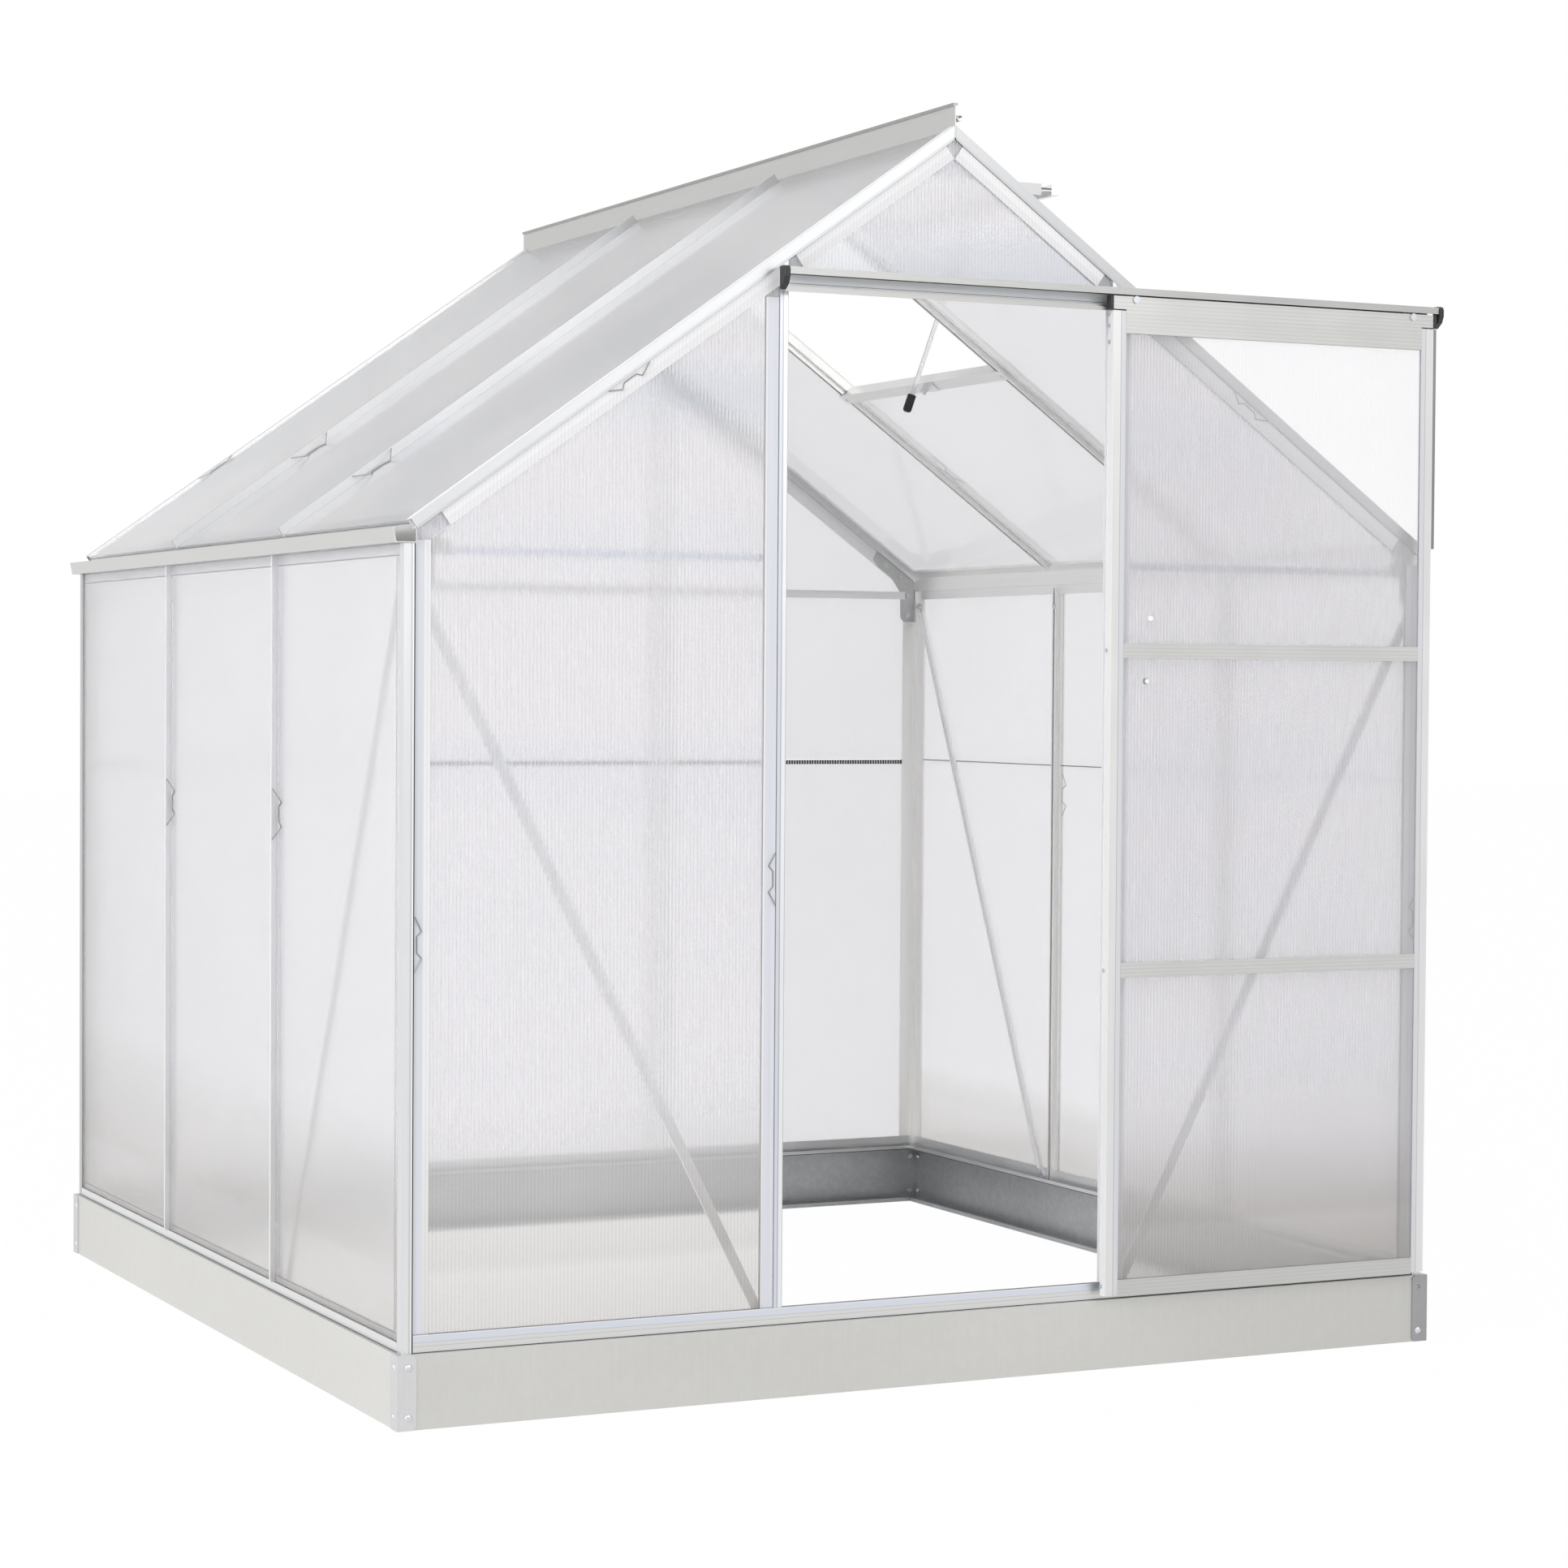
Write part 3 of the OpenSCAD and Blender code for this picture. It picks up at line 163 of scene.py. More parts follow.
def new_finish(name, **fixed):
    """A material with one Principled surface; its even values are set on its own sockets."""
    material = bpy.data.materials.new(name)
    material.use_nodes = True
    finish = Finish(material)
    finish.surface = material.node_tree.nodes["Principled BSDF"]
    for key, value in fixed.items():
        finish.fill(finish.surface.inputs[key.replace("_", " ")], value)
    return finish


def drive(finish, **wires):
    for key, wire in wires.items():
        finish.fill(finish.surface.inputs[key.replace("_", " ")], wire)


def dress(finish, *names):
    for name in names:
        slots = nodes[name].data.materials
        slots.clear()
        slots.append(finish.owner)


world = bpy.data.worlds.new("studio")
bpy.context.scene.world = world
world.use_nodes = True
sky = Finish(world)
lift = sky.axis(sky.node("ShaderNodeTexCoord", {}, out=0), 2)
side = sky.axis(sky.node("ShaderNodeTexCoord", {}, out=0), 0)
glow = sky.range(lift, 0.0, 1.0, 1.0, 0.62) - 0.10 * side
light = sky.node("ShaderNodeBackground", {}, (1.0, 1.0, 1.0), 0.82 * glow)
overhead = sky.range(lift, 0.20, 0.32, 1.0, 0.62) + sky.range(lift, 0.42, 0.62, 0.0, 0.62)
mirrored = sky.node("ShaderNodeBackground", {}, (1.0, 1.0, 1.0), overhead)
white = sky.node("ShaderNodeBackground", {}, (1.0, 1.0, 1.0), 1.0)
rays = sky.tree.nodes.new("ShaderNodeLightPath").outputs
seen = Wire(sky, rays["Is Camera Ray"])
through = sky.node("ShaderNodeMath", {"operation": "ADD", "use_clamp": True},
                   Wire(sky, rays["Is Glossy Ray"]), Wire(sky, rays["Is Transmission Ray"]))
studio = sky.node("ShaderNodeMixShader", {}, through, light, mirrored)
studio = sky.node("ShaderNodeMixShader", {}, seen, studio, white)
sky.tree.links.new(studio.socket, sky.tree.nodes["World Output"].inputs["Surface"])

floor_mesh = bpy.data.meshes.new("studio_floor")
floor_bm = bmesh.new()
bmesh.ops.create_grid(floor_bm, x_segments=1, y_segments=1, size=30.0)
floor_bm.to_mesh(floor_mesh)
floor_bm.free()
floor = bpy.data.objects.new("studio_floor", floor_mesh)
bpy.context.scene.collection.objects.link(floor)
floor.location.z = cad_box[0].z - 0.0005
floor_finish = new_finish("floor_white", Base_Color=(0.92, 0.92, 0.92), Roughness=0.9)
clean = floor_finish.node("ShaderNodeEmission", {}, (1.0, 1.0, 1.0), 1.0)
rays = floor_finish.tree.nodes.new("ShaderNodeLightPath").outputs
seen = floor_finish.node("ShaderNodeMath", {"operation": "ADD", "use_clamp": True},
                         Wire(floor_finish, rays["Is Camera Ray"])
                         + Wire(floor_finish, rays["Is Glossy Ray"]),
                         Wire(floor_finish, rays["Is Transmission Ray"]))
matt = Wire(floor_finish, floor_finish.surface.outputs[0])
floor_mix = floor_finish.node("ShaderNodeMixShader", {}, seen * 0.985, matt, clean)
floor_finish.tree.links.new(floor_mix.socket,
                            floor_finish.tree.nodes["Material Output"].inputs["Surface"])
floor_mesh.materials.append(floor_finish.owner)


def soft_box(name, place, size, power):
    lamp = bpy.data.lights.new(name, "AREA")
    lamp.shape, lamp.size, lamp.size_y, lamp.energy = "RECTANGLE", size, size, power
    held = bpy.data.objects.new(name, lamp)
    bpy.context.scene.collection.objects.link(held)
    aim = Vector((0.0, 0.0, 0.8)) - Vector(place)
    held.matrix_world = Matrix.Translation(place) @ aim.to_track_quat("-Z", "Y").to_matrix().to_4x4()


soft_box("left_box", (-6.0, -2.5, 3.6), 4.0, 190.0)
soft_box("front_box", (1.5, -7.0, 4.5), 4.0, 120.0)

# ---- Base rails and corner plates --------------------------------------------------------
# Rails folded from galvanised sheet and flat corner plates. The zinc shows faint spangles
# outside; on the inner faces the spangle is coarser, and they are painted darker, painted
# shade for the dimmer inside. The right ends are painted darker too, painted shade.


def galvanised(name, inside, tone=0.60, warm=0.038, right_end_shade=0.05):
    """inside: how far out the inner faces reach, which get painted shade; right_end_shade: how much painted
    shade darkens the right end.
    """
    finish = new_finish(name, Metallic=0.5, Roughness=0.5)
    place = finish.place()
    flakes = finish.node("ShaderNodeTexVoronoi", {"feature": "F1"}, Vector=place, Scale=95.0, out=1)
    tint = finish.axis(flakes, 0)
    cloud = finish.noise(finish.stretch(place, (1.0, 1.0, 2.5)), 1.6, 2.0)
    brush = finish.noise(finish.stretch(place, (220.0, 220.0, 5.0)), 1.0, 2.0)
    within = finish.outreach(place) < inside
    speck = finish.noise(place, 420.0, 3.0, 0.7)
    shade = finish.range(cloud, 0.3, 0.7, -0.018, 0.018) + finish.range(brush, 0.3, 0.7, -0.008, 0.008)
    spangle = finish.range(tint, 0.0, 1.0, -0.006, 0.006) \
        + within * (finish.range(speck, 0.35, 0.65, -0.03, 0.03) + finish.range(tint, 0.0, 1.0, -0.02, 0.02)
                    + finish.range(cloud, 0.35, 0.65, -0.07, 0.07))
    # painted shade: the inner faces and the right end are painted darker
    level = tone + shade + spangle \
        - right_end_shade * finish.range(finish.axis(place, 0), 0.30, 0.92, 0.0, 1.0) - within * (tone - 0.54)
    colour = finish.node("ShaderNodeCombineColor", {}, level * 1.006 - within * 0.016, level * 0.998,
                         level * (1.0 - warm) + within * 0.022)
    drive(finish, Base_Color=colour, Roughness=0.44 + shade * 2.0 + within * 0.06,
          Normal=finish.bump(cloud + 0.4 * within * tint, 0.12, 0.0006))
    return finish


dress(galvanised("rail_zinc", 0.9172), "base_front", "base_rear", "base_right")
# the left rail has a lighter tone: painted light from the left soft box
dress(galvanised("side_rail_zinc_lit", 0.9172, 0.68), "base_left")
dress(galvanised("plate_zinc", 0.5, 0.64, -0.012, 0.30), "base_corner_plates")

# ---- Bolts and screws --------------------------------------------------------------------
# Zinc-plated cup-headed bolts hold the corner plates, with hexagon nuts inside. The frame
# has small hexagon bolts, and the door two pale discs by which it is pulled.

bolt_zinc = new_finish("bolt_zinc", Metallic=0.9)
place = bolt_zinc.place()
fine = bolt_zinc.noise(place, 900.0, 3.0)
drive(bolt_zinc, Base_Color=bolt_zinc.blend(fine, (0.50, 0.54, 0.58), (0.78, 0.82, 0.86)),
      Roughness=bolt_zinc.range(fine, 0.3, 0.7, 0.22, 0.40),
      Normal=bolt_zinc.bump(fine, 0.2, 0.0002))
dress(bolt_zinc, "base_bolts", "frame_bolts")


def new_piece(name, bm, finish, body="frame"):
    mesh = bpy.data.meshes.new(name)
    bm.to_mesh(mesh)
    bm.free()
    mesh.materials.append(finish.owner)
    piece = bpy.data.objects.new(name, mesh)
    bpy.context.scene.collection.objects.link(piece)
    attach(piece, body)
    return piece


def cup_bolt(bm, seat, out, grip=0.0032):
    """A low dome on the plate's face, its shank, and the nut behind it, in metres."""
    head_r, shank_r, nut_r = 0.0058, 0.003, 0.0055
    at = Matrix.Translation(seat) @ Vector(out).to_track_quat("Z", "Y").to_matrix().to_4x4()
    dome = bmesh.new()
    bmesh.ops.create_uvsphere(dome, u_segments=16, v_segments=8, radius=head_r)
    bmesh.ops.scale(dome, vec=(1.0, 1.0, 0.5), verts=dome.verts)
    bmesh.ops.bisect_plane(dome, geom=dome.verts[:] + dome.edges[:] + dome.faces[:],
                           plane_co=(0, 0, 0), plane_no=(0, 0, -1), clear_outer=True)
    rim = [edge for edge in dome.edges if edge.is_boundary]
    bmesh.ops.edgeloop_fill(dome, edges=rim)
    for radius, low, high, sides in ((shank_r, -grip - 0.006, 0.0, 12), (nut_r, -grip - 0.004, -grip, 6)):
        bmesh.ops.create_cone(dome, cap_ends=True, segments=sides, radius1=radius, radius2=radius,
                              depth=high - low, matrix=Matrix.Translation((0, 0, (low + high) / 2)))
    bmesh.ops.transform(dome, matrix=at, verts=dome.verts)
    mesh = bpy.data.meshes.new("cup_bolt")
    dome.to_mesh(mesh)
    dome.free()
    bm.from_mesh(mesh)
    bpy.data.meshes.remove(mesh)


plate_bolts = bmesh.new()
for sx in (-1, 1):
    for sy in (-1, 1):
        for z in (0.019, 0.093):
            if not (sx == 1 and sy == -1 and z > 0.05):
                cup_bolt(plate_bolts, (sx * 0.902, sy * 0.920, z), (0, sy, 0))
            cup_bolt(plate_bolts, (sx * 0.920, sy * 0.902, z), (sx, 0, 0))

slope, apex_z = math.radians(35.4), 1.9804
bar_y = 0.30367  # the glazing bars' middle lines, either side of the house's middle
across_bar, down_bar = (-math.sin(slope), 0.0, -math.cos(slope)), (math.cos(slope), 0.0, -math.sin(slope))
bar_bolts = bmesh.new()
for y in (-bar_y, bar_y):
    for reach in (0.540, 1.040):
        # in the bars' inner channels, at the vent trimmer and above the eave
        seat = [d * reach + n * 0.0192 for d, n in zip(down_bar, across_bar)]
        cup_bolt(bar_bolts, (seat[0], y, seat[2] + apex_z), across_bar, 0.002)
    cup_bolt(bar_bolts, (0.8918, y, 1.262), (-1.0, 0.0, 0.0), 0.002)
bmesh.ops.recalc_face_normals(bar_bolts, faces=bar_bolts.faces)
new_piece("bar_bolts", bar_bolts, bolt_zinc)

bmesh.ops.recalc_face_normals(plate_bolts, faces=plate_bolts.faces)
for polygon in plate_bolts.faces:
    polygon.smooth = len(polygon.verts) < 5
piece = new_piece("plate_bolts", plate_bolts, bolt_zinc)
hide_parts("base_bolts")

# ---- Extruded aluminium ------------------------------------------------------------------
# Every bar is a mill-finish extrusion. Die lines run along its length, so each direction of
# bar has its own finish: upright, along the house, across it, and down the two slopes. Each
# group of bars also has its own tone, set for how brightly it shows: lit and shaded copies of
# one finish, painted light and shade.

behind_walls = 0.9078  # faces nearer the middle than this lie behind the wall sheets
# painted light: a pale colour for faces behind the sheets, against the shade there
painted_light_behind_sheets = (0.955, 0.955, 0.985)


def extruded(name, along, turn=(0.0, 0.0, 0.0), tone=0.80, glazed=None, warm=0.0, paired=False):
    """tone: the group's brightness, painted light and shade; glazed: the parts behind the "wall"
    or "roof" sheets are painted pale and not metallic, painted light against the shade there;
    warm: a slight yellow cast; paired: the bars of both slopes share the finish."""
    finish = new_finish(name, Metallic=0.88, Roughness=0.34)
    place = finish.place()
    if paired:
        x, y, z = (finish.axis(place, i) for i in range(3))
        place = finish.node("ShaderNodeCombineXYZ", {}, abs(x), y, z)
    scale = tuple(3.0 if i == along else 900.0 for i in range(3))
    lines = finish.noise(finish.stretch(finish.stretch(place, (1.0, 1.0, 1.0), turn), scale), 1.0, 2.0)
    cloud = finish.noise(place, 7.0, 3.0)
    level = tone + finish.range(lines, 0.3, 0.7, -0.02, 0.02) + finish.range(cloud, 0.3, 0.7, -0.015, 0.015)
    colour = finish.node("ShaderNodeCombineColor", {}, level * (0.995 + warm), level,
                         level * (1.002 - 2.0 * warm))
    drive(finish, Base_Color=colour,
          Roughness=finish.range(lines + cloud, 0.7, 1.3, 0.30, 0.40),
          Normal=finish.bump(lines, 0.05, 0.0002))
    if glazed == "wall":
        overlay(finish, finish.outreach(finish.place()) < behind_walls, painted_light_behind_sheets, 0.0)
    elif glazed == "roof":
        overlay(finish, below_roof(finish) > 0.0029, (0.76, 0.76, 0.79), 0.0)
    return finish


def overlay(finish, mask, colour, metal=None):
    """Another colour over part of a finish, and how metallic it is there."""
    first = Wire(finish, finish.surface.inputs["Base Color"].links[0].from_socket)
    drive(finish, Base_Color=finish.blend(mask, first, colour))
    if metal is not None:
        socket = finish.surface.inputs["Metallic"]
        whole = Wire(finish, socket.links[0].from_socket) if socket.links else socket.default_value
        drive(finish, Metallic=whole + mask * (metal - whole))
    return finish


def below_roof(finish):
    """Depth under the plane of either slope."""
    place = finish.place()
    x, z = finish.axis(place, 0), finish.axis(place, 2)
    return (apex_z - z) * math.cos(slope) - abs(x) * math.sin(slope)


def painted_front_lines(finish, axis, *lines):
    """Painted shade lines, painted highlights and tinted bands on the front gable's front faces: from, to,
    colour along an axis.
    """
    place = finish.place()
    front = finish.axis(place, 1) < -0.9105
    along = below_roof(finish) if axis == "roof" else abs(finish.axis(place, axis))
    for low, high, colour in lines:
        overlay(finish, (along > low) * (along < high) * front, colour)
    return finish


down_right, down_left = (0.0, -slope, 0.0), (0.0, slope, 0.0)
# gap_shade: near-black, for painted shade in a gap between parts
gap_shade, lilac = (0.05, 0.05, 0.055), (0.66, 0.67, 0.72)

for name, nodes_in, along, tone in (("sill_metal", ("sill_front", "sill_rear"), 0, 0.66),
                                    ("side_sill_metal", ("sill_left", "sill_right"), 1, 0.78)):
    sill = extruded(name, along, tone=tone)
    # painted shade: a thin strip at the sill's foot, where it sits on the base, is near-black
    overlay(sill, sill.axis(sill.place(), 2) < 0.1134, (0.08, 0.08, 0.08), 0.2)
    if along == 0:
        # painted shade lines and tinted bands along the front sill's face
        painted_front_lines(sill, 2, (0.1134, 0.1275, (0.67, 0.67, 0.66)), (0.1215, 0.1223, (0.50, 0.50, 0.51)),
                    (0.1275, 0.1283, (0.50, 0.51, 0.54)), (0.1283, 0.1375, (0.66, 0.69, 0.75)),
                    (0.1375, 0.14, (0.78, 0.79, 0.82)))
    dress(sill, *nodes_in)

post = extruded("front_post_metal", 2, tone=0.74, glazed="wall", warm=-0.008)
# beside the corner posts: a painted shade band, a painted highlight and painted shade in the gap
painted_front_lines(post, 0, (0.8968, 0.9000, (0.60, 0.61, 0.61)), (0.8948, 0.8968, (0.90, 0.90, 0.90)),
            (0.8925, 0.8948, gap_shade))
dress(post, "post_front_left", "post_front_right")
post = extruded("door_post_metal", 2, tone=0.80, glazed="wall", warm=-0.008)
# beside the door posts: a lilac band and painted shade lines
painted_front_lines(post, 0, (0.2985, 0.31, lilac), (0.2962, 0.2985, (0.48, 0.51, 0.57)),
            (0.288, 0.2898, (0.42, 0.41, 0.39)))
dress(post, "door_post_left", "door_post_right")
dress(extruded("rear_post_metal", 2, tone=0.54), "post_rear_left")
dress(extruded("inner_post_metal", 2, tone=0.92, warm=0.008), "post_rear_right", "rear_studs",
      "wall_bars_right")
dress(extruded("wall_bar_metal", 2, tone=0.92, glazed="wall", warm=-0.006), "wall_bars_left")
dress(extruded("brace_metal", 2, tone=0.88), "front_braces")
brace = extruded("side_brace_metal", 2, tone=0.90)
overlay(brace, brace.axis(brace.place(), 0) < 0.0, (0.64, 0.64, 0.62))
dress(brace, "side_braces")
dress(extruded("support_metal", 2, tone=0.28), "track_support")
tie = extruded("tie_metal", 0, tone=0.84)
# painted light: the front tie bar, behind the front sheet, is pale lilac and less metallic
overlay(tie, tie.axis(tie.place(), 1) < 0.0, (0.84, 0.88, 0.97), 0.4)
dress(tie, "tie_bars")
gutter = extruded("gutter_metal", 1, tone=0.64, warm=0.010)
place = gutter.place()
# painted light: the gutter's inner part, behind the left wall sheet, is pale and not metallic
overlay(gutter, (gutter.axis(place, 2) < 1.3052) * (gutter.axis(place, 0) > -behind_walls),
        painted_light_behind_sheets, 0.0)
dress(gutter, "gutter_left")
dress(extruded("right_gutter_metal", 1, tone=0.93, warm=0.008), "gutter_right")
dress(extruded("right_slope_metal", 0, down_right, 0.92, warm=0.008), "roof_bars_right")
dress(extruded("left_slope_metal", 0, down_left, 0.60, "roof", -0.006), "roof_bars_left")
rafter = extruded("rafter_metal", 0, down_right, 0.64, "wall", -0.008, paired=True)
# under the rafters' edge: a painted highlight band between two painted shade lines
painted_front_lines(rafter, "roof", (0.0150, 0.0158, (0.32, 0.32, 0.33)), (0.0158, 0.0172, (0.68, 0.69, 0.70)),
            (0.0172, 0.0181, (0.36, 0.36, 0.37)))
# painted shade: the right rafter is painted half way darker
overlay(rafter, (rafter.axis(rafter.place(), 0) > 0.0) * 0.5, (0.40, 0.40, 0.40))
dress(rafter, "rafters_front")
dress(extruded("rear_rafter_metal", 0, down_right, 0.82, paired=True), "rafters_rear")
ridge = extruded("ridge_metal", 1, tone=0.57, warm=0.010)
overlay(ridge, ridge.axis(ridge.place(), 2) > 2.0112, (0.36, 0.36, 0.35))
dress(ridge, "ridge_bar")

# ---- Pressed plates ----------------------------------------------------------------------
# Gussets, ridge plates and the stay are punched from flat aluminium, a little duller than
# the extrusions. The front ones lie behind the sheets and are painted pale and not metallic,
# painted light against the shade there; the catch is bright.


def pressed(name, dark, pale):
    finish = new_finish(name, Metallic=0.85)
    haze = finish.noise(finish.place(), 260.0, 4.0, 0.6)
    drive(finish, Base_Color=finish.blend(haze, dark, pale),
          Roughness=finish.range(haze, 0.3, 0.7, 0.34, 0.52), Normal=finish.bump(haze, 0.1, 0.0002))
    return finish


gusset = pressed("pressed_plate", (0.52, 0.53, 0.53), (0.66, 0.66, 0.65))
# painted light: the front plates, behind the front sheet, are pale and not metallic
overlay(gusset, gusset.axis(gusset.place(), 1) < 0.0, (0.93, 0.93, 0.96), 0.0)
dress(gusset, "ridge_plates", "corner_gussets")
dress(pressed("stay_metal", (0.62, 0.62, 0.62), (0.80, 0.80, 0.79)), "stay_arm")
dress(pressed("catch_metal", (0.80, 0.81, 0.82), (0.95, 0.95, 0.95)), "stay_catch")

# ---- Moulded parts -----------------------------------------------------------------------
# White nylon makes the rollers, the tie bars' pads and the door's guide. The buffers are
# black with a fine grain, and the stay's grip is dipped in black rubber.


def moulded(name, colour, rough):
    finish = new_finish(name, Specular_IOR_Level=0.45)
    place = finish.place()
    grain = finish.noise(place, 1400.0, 3.0)
    cloud = finish.noise(place, 90.0, 2.0)
    pale = tuple(min(1.0, c * 1.25 + 0.01) for c in colour)
    drive(finish, Base_Color=finish.blend(cloud, colour, pale),
          Roughness=finish.range(grain, 0.3, 0.7, rough - 0.06, rough + 0.08),
          Normal=finish.bump(grain, 0.25, 0.0003))
    return finish


dress(moulded("white_nylon", (0.72, 0.72, 0.70), 0.42), "tie_pads", "door_guide", "roller_left",
      "roller_right")
black_moulding = moulded("black_moulding", (0.018, 0.018, 0.02), 0.4)
dress(black_moulding, "track_end_caps", "door_buffers")
dress(moulded("black_grip", (0.012, 0.012, 0.013), 0.62), "stay_handle")

# ---- Track -------------------------------------------------------------------------------
# The door hangs from one deep extrusion. Its recessed back plate is painted pale and less
# metallic, painted light against the lip's shadow, with a painted shade line along its ledge
# and a painted shadow under the lip. A rounded black plug closes the front of each end.

track_metal = extruded("track_metal", 0, tone=0.48, warm=0.008)
place = track_metal.place()
back = (track_metal.axis(place, 1) > -0.9133) * (track_metal.axis(place, 1) < -0.9120)
height = track_metal.axis(place, 2)
# painted light and shade: the back plate, shaded by the lip, is pale and less metallic, with a painted shade
# line on its ledge and a painted shadow under the lip
overlay(track_metal, back, (0.93, 0.95, 0.98), 0.15)
overlay(track_metal, back * (height < 1.7175) * (height > 1.7165), (0.25, 0.25, 0.26))
overlay(track_metal, back * (height > 1.7303), (0.20, 0.20, 0.20))
dress(track_metal, "door_track")

plugs = bmesh.new()
track_low, track_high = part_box("door_track")
for end_x, out in ((track_low.x, -1.0), (track_high.x, 1.0)):
    inner = end_x + out * 0.0002
    corners = [(-0.9275, 1.7050), (-0.9310, 1.7050), (-0.9425, 1.7135), (-0.9470, 1.7240), (-0.9470, 1.7350),
               (-0.9450, 1.7395), (-0.9405, 1.7410), (-0.9300, 1.7410), (-0.9275, 1.7385)]
    rim = [plugs.verts.new((inner, y, z)) for y, z in corners]
    flat = plugs.faces.new(rim)
    grown = bmesh.ops.extrude_face_region(plugs, geom=[flat])["geom"]
    cap = [item for item in grown if isinstance(item, bmesh.types.BMVert)]
    bmesh.ops.translate(plugs, vec=(out * 0.0095, 0, 0), verts=cap)
    ring = [edge for edge in plugs.edges if all(vert in cap for vert in edge.verts)]
    bmesh.ops.bevel(plugs, geom=ring, offset=0.0022, segments=3, profile=0.5, affect="EDGES", material=-1)
bmesh.ops.recalc_face_normals(plugs, faces=plugs.faces)
piece = new_piece("track_plugs", plugs, black_moulding)
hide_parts("track_end_caps")

# ---- Twin-wall sheets --------------------------------------------------------------------
# Two clear skins 4 mm apart joined by webs every 6 mm. The webs scatter the light, so a
# sheet looks milky and finely ribbed. Towards their lower edges the sheets are painted darker
# and warmer: painted shade, for the shaded ground seen through them.

PITCH = 0.006


def twin_wall(name, ribbed_along, tone=0.965, reflected_bands=0.0, low=None, relief=0.0, haze=0.1, mottle=0.0,
              webs=0.0, clear=0.74):
    """reflected_bands: how strongly soft level bands, painted reflections of the bars, show;
    low: height where the painted shade along the lower edge starts; relief: how far the webs bend
    what is seen through them; haze: how much the skins blur it; mottle: soft lilac patches;
    webs: how much the webs show in the colour; clear: light let through."""
    finish = new_finish(name, IOR=1.35, Specular_IOR_Level=0.5, Transmission_Weight=clear)
    place = finish.place()
    across_ribs = finish.axis(place, 0 if ribbed_along == "x" else 1)
    rib = finish.wave(across_ribs, PITCH)
    cloud = finish.noise(finish.stretch(place, (1.0, 1.0, 0.8)), 2.0, 2.0)
    level = tone + webs * rib + finish.range(cloud, 0.3, 0.7, -0.012, 0.012)
    height = finish.axis(place, 2)
    cool = low_shade = 0.0
    # painted reflections: soft bluish level bands, darker, and stronger higher up
    if reflected_bands:
        band = finish.noise(finish.stretch(place, (0.45, 0.9, 7.0)), 1.0, 1.0, 0.4)
        cool = reflected_bands * finish.range(band, 0.48, 0.62, 0.0, 1.0) * finish.range(height, 0.9, 1.3, 0.25, 1.0)
        level = level - 0.05 * cool
    # painted shade: darker and warmer towards the lower edge, for the shaded ground seen through
    if low:
        low_shade = finish.range(height + 0.06 * (cloud - 0.5), low, 0.16, 0.0, 1.0)
        shade_step = finish.range(height + 0.03 * (cloud - 0.5), 0.222, 0.240, 0.72, 1.0)
        low_shade = low_shade * shade_step
        level = level - 0.24 * low_shade
    if mottle:
        patch = finish.range(finish.noise(finish.stretch(place, (1.6, 1.6, 0.9)), 1.6, 1.0), 0.42, 0.60,
                             0.0, mottle)
        level = level - 0.05 * patch
        level = level + finish.range(finish.axis(place, 1), 0.30, 0.75, 0.0, 0.11)
        cool = 0.5 * patch
    colour = finish.node("ShaderNodeCombineColor", {}, level * 0.994 - 0.03 * cool + 0.016 * low_shade,
                         level * 0.986 + 0.004 * low_shade, level * 1.004 + 0.02 * cool - 0.03 * low_shade)
    drive(finish, Base_Color=colour, Roughness=haze + 0.2 * haze * rib,
          Normal=finish.bump(0.5 + 0.5 * rib, relief, 0.00016))
    return finish


# each sheet's tone is set for how brightly it shows: lit and shaded copies of one finish, painted light and
# shade
dress(twin_wall("twin_wall_front", "x", reflected_bands=0.9, low=0.48, relief=0.28, haze=0.05, webs=0.04),
      "sheets_front")
dress(twin_wall("twin_wall_rear", "x", 0.985, haze=0.16, clear=0.80), "sheets_rear")
dress(twin_wall("twin_wall_door", "x", 0.995, low=0.38, relief=0.10, haze=0.11, webs=0.035, clear=0.79),
      "door_sheets")
dress(twin_wall("twin_wall_left", "y", low=0.46, haze=0.2), "sheets_left")
dress(twin_wall("twin_wall_right", "y", 0.985, low=0.30, haze=0.15, clear=0.84), "sheets_right")
dress(twin_wall("twin_wall_roof", "y", 0.91, haze=0.14, mottle=1.0), "sheets_roof_left")
dress(twin_wall("twin_wall_lit_roof", "y", 0.985, clear=0.82), "sheets_roof_right", "vent_sheet")

# ---- Sheet joints ------------------------------------------------------------------------
# The rear and right walls are glazed in two heights. Dark blocks in the cut flutes across
# the rear gable are painted shadow in their mouths, and a thin grey strip closes the joint in
# the right wall.


def block(bm, low, high):
    """A block between two opposite corners."""
    size = [b - a for a, b in zip(low, high)]
    middle = [(a + b) / 2 for a, b in zip(low, high)]
    bmesh.ops.create_cube(bm, size=1.0, matrix=Matrix.Translation(middle) @ Matrix.Diagonal((*size, 1.0)))


# painted shadow: dark blocks standing in the cut flutes' mouths
flute_shadow_finish = new_finish("flute_shadow", Specular_IOR_Level=0.2)
shadow_mottle = flute_shadow_finish.noise(flute_shadow_finish.place(), 300.0, 2.0)
drive(flute_shadow_finish, Base_Color=flute_shadow_finish.blend(shadow_mottle, (0.030, 0.032, 0.034), (0.075, 0.078, 0.08)),
      Roughness=flute_shadow_finish.range(shadow_mottle, 0.3, 0.7, 0.6, 0.85))

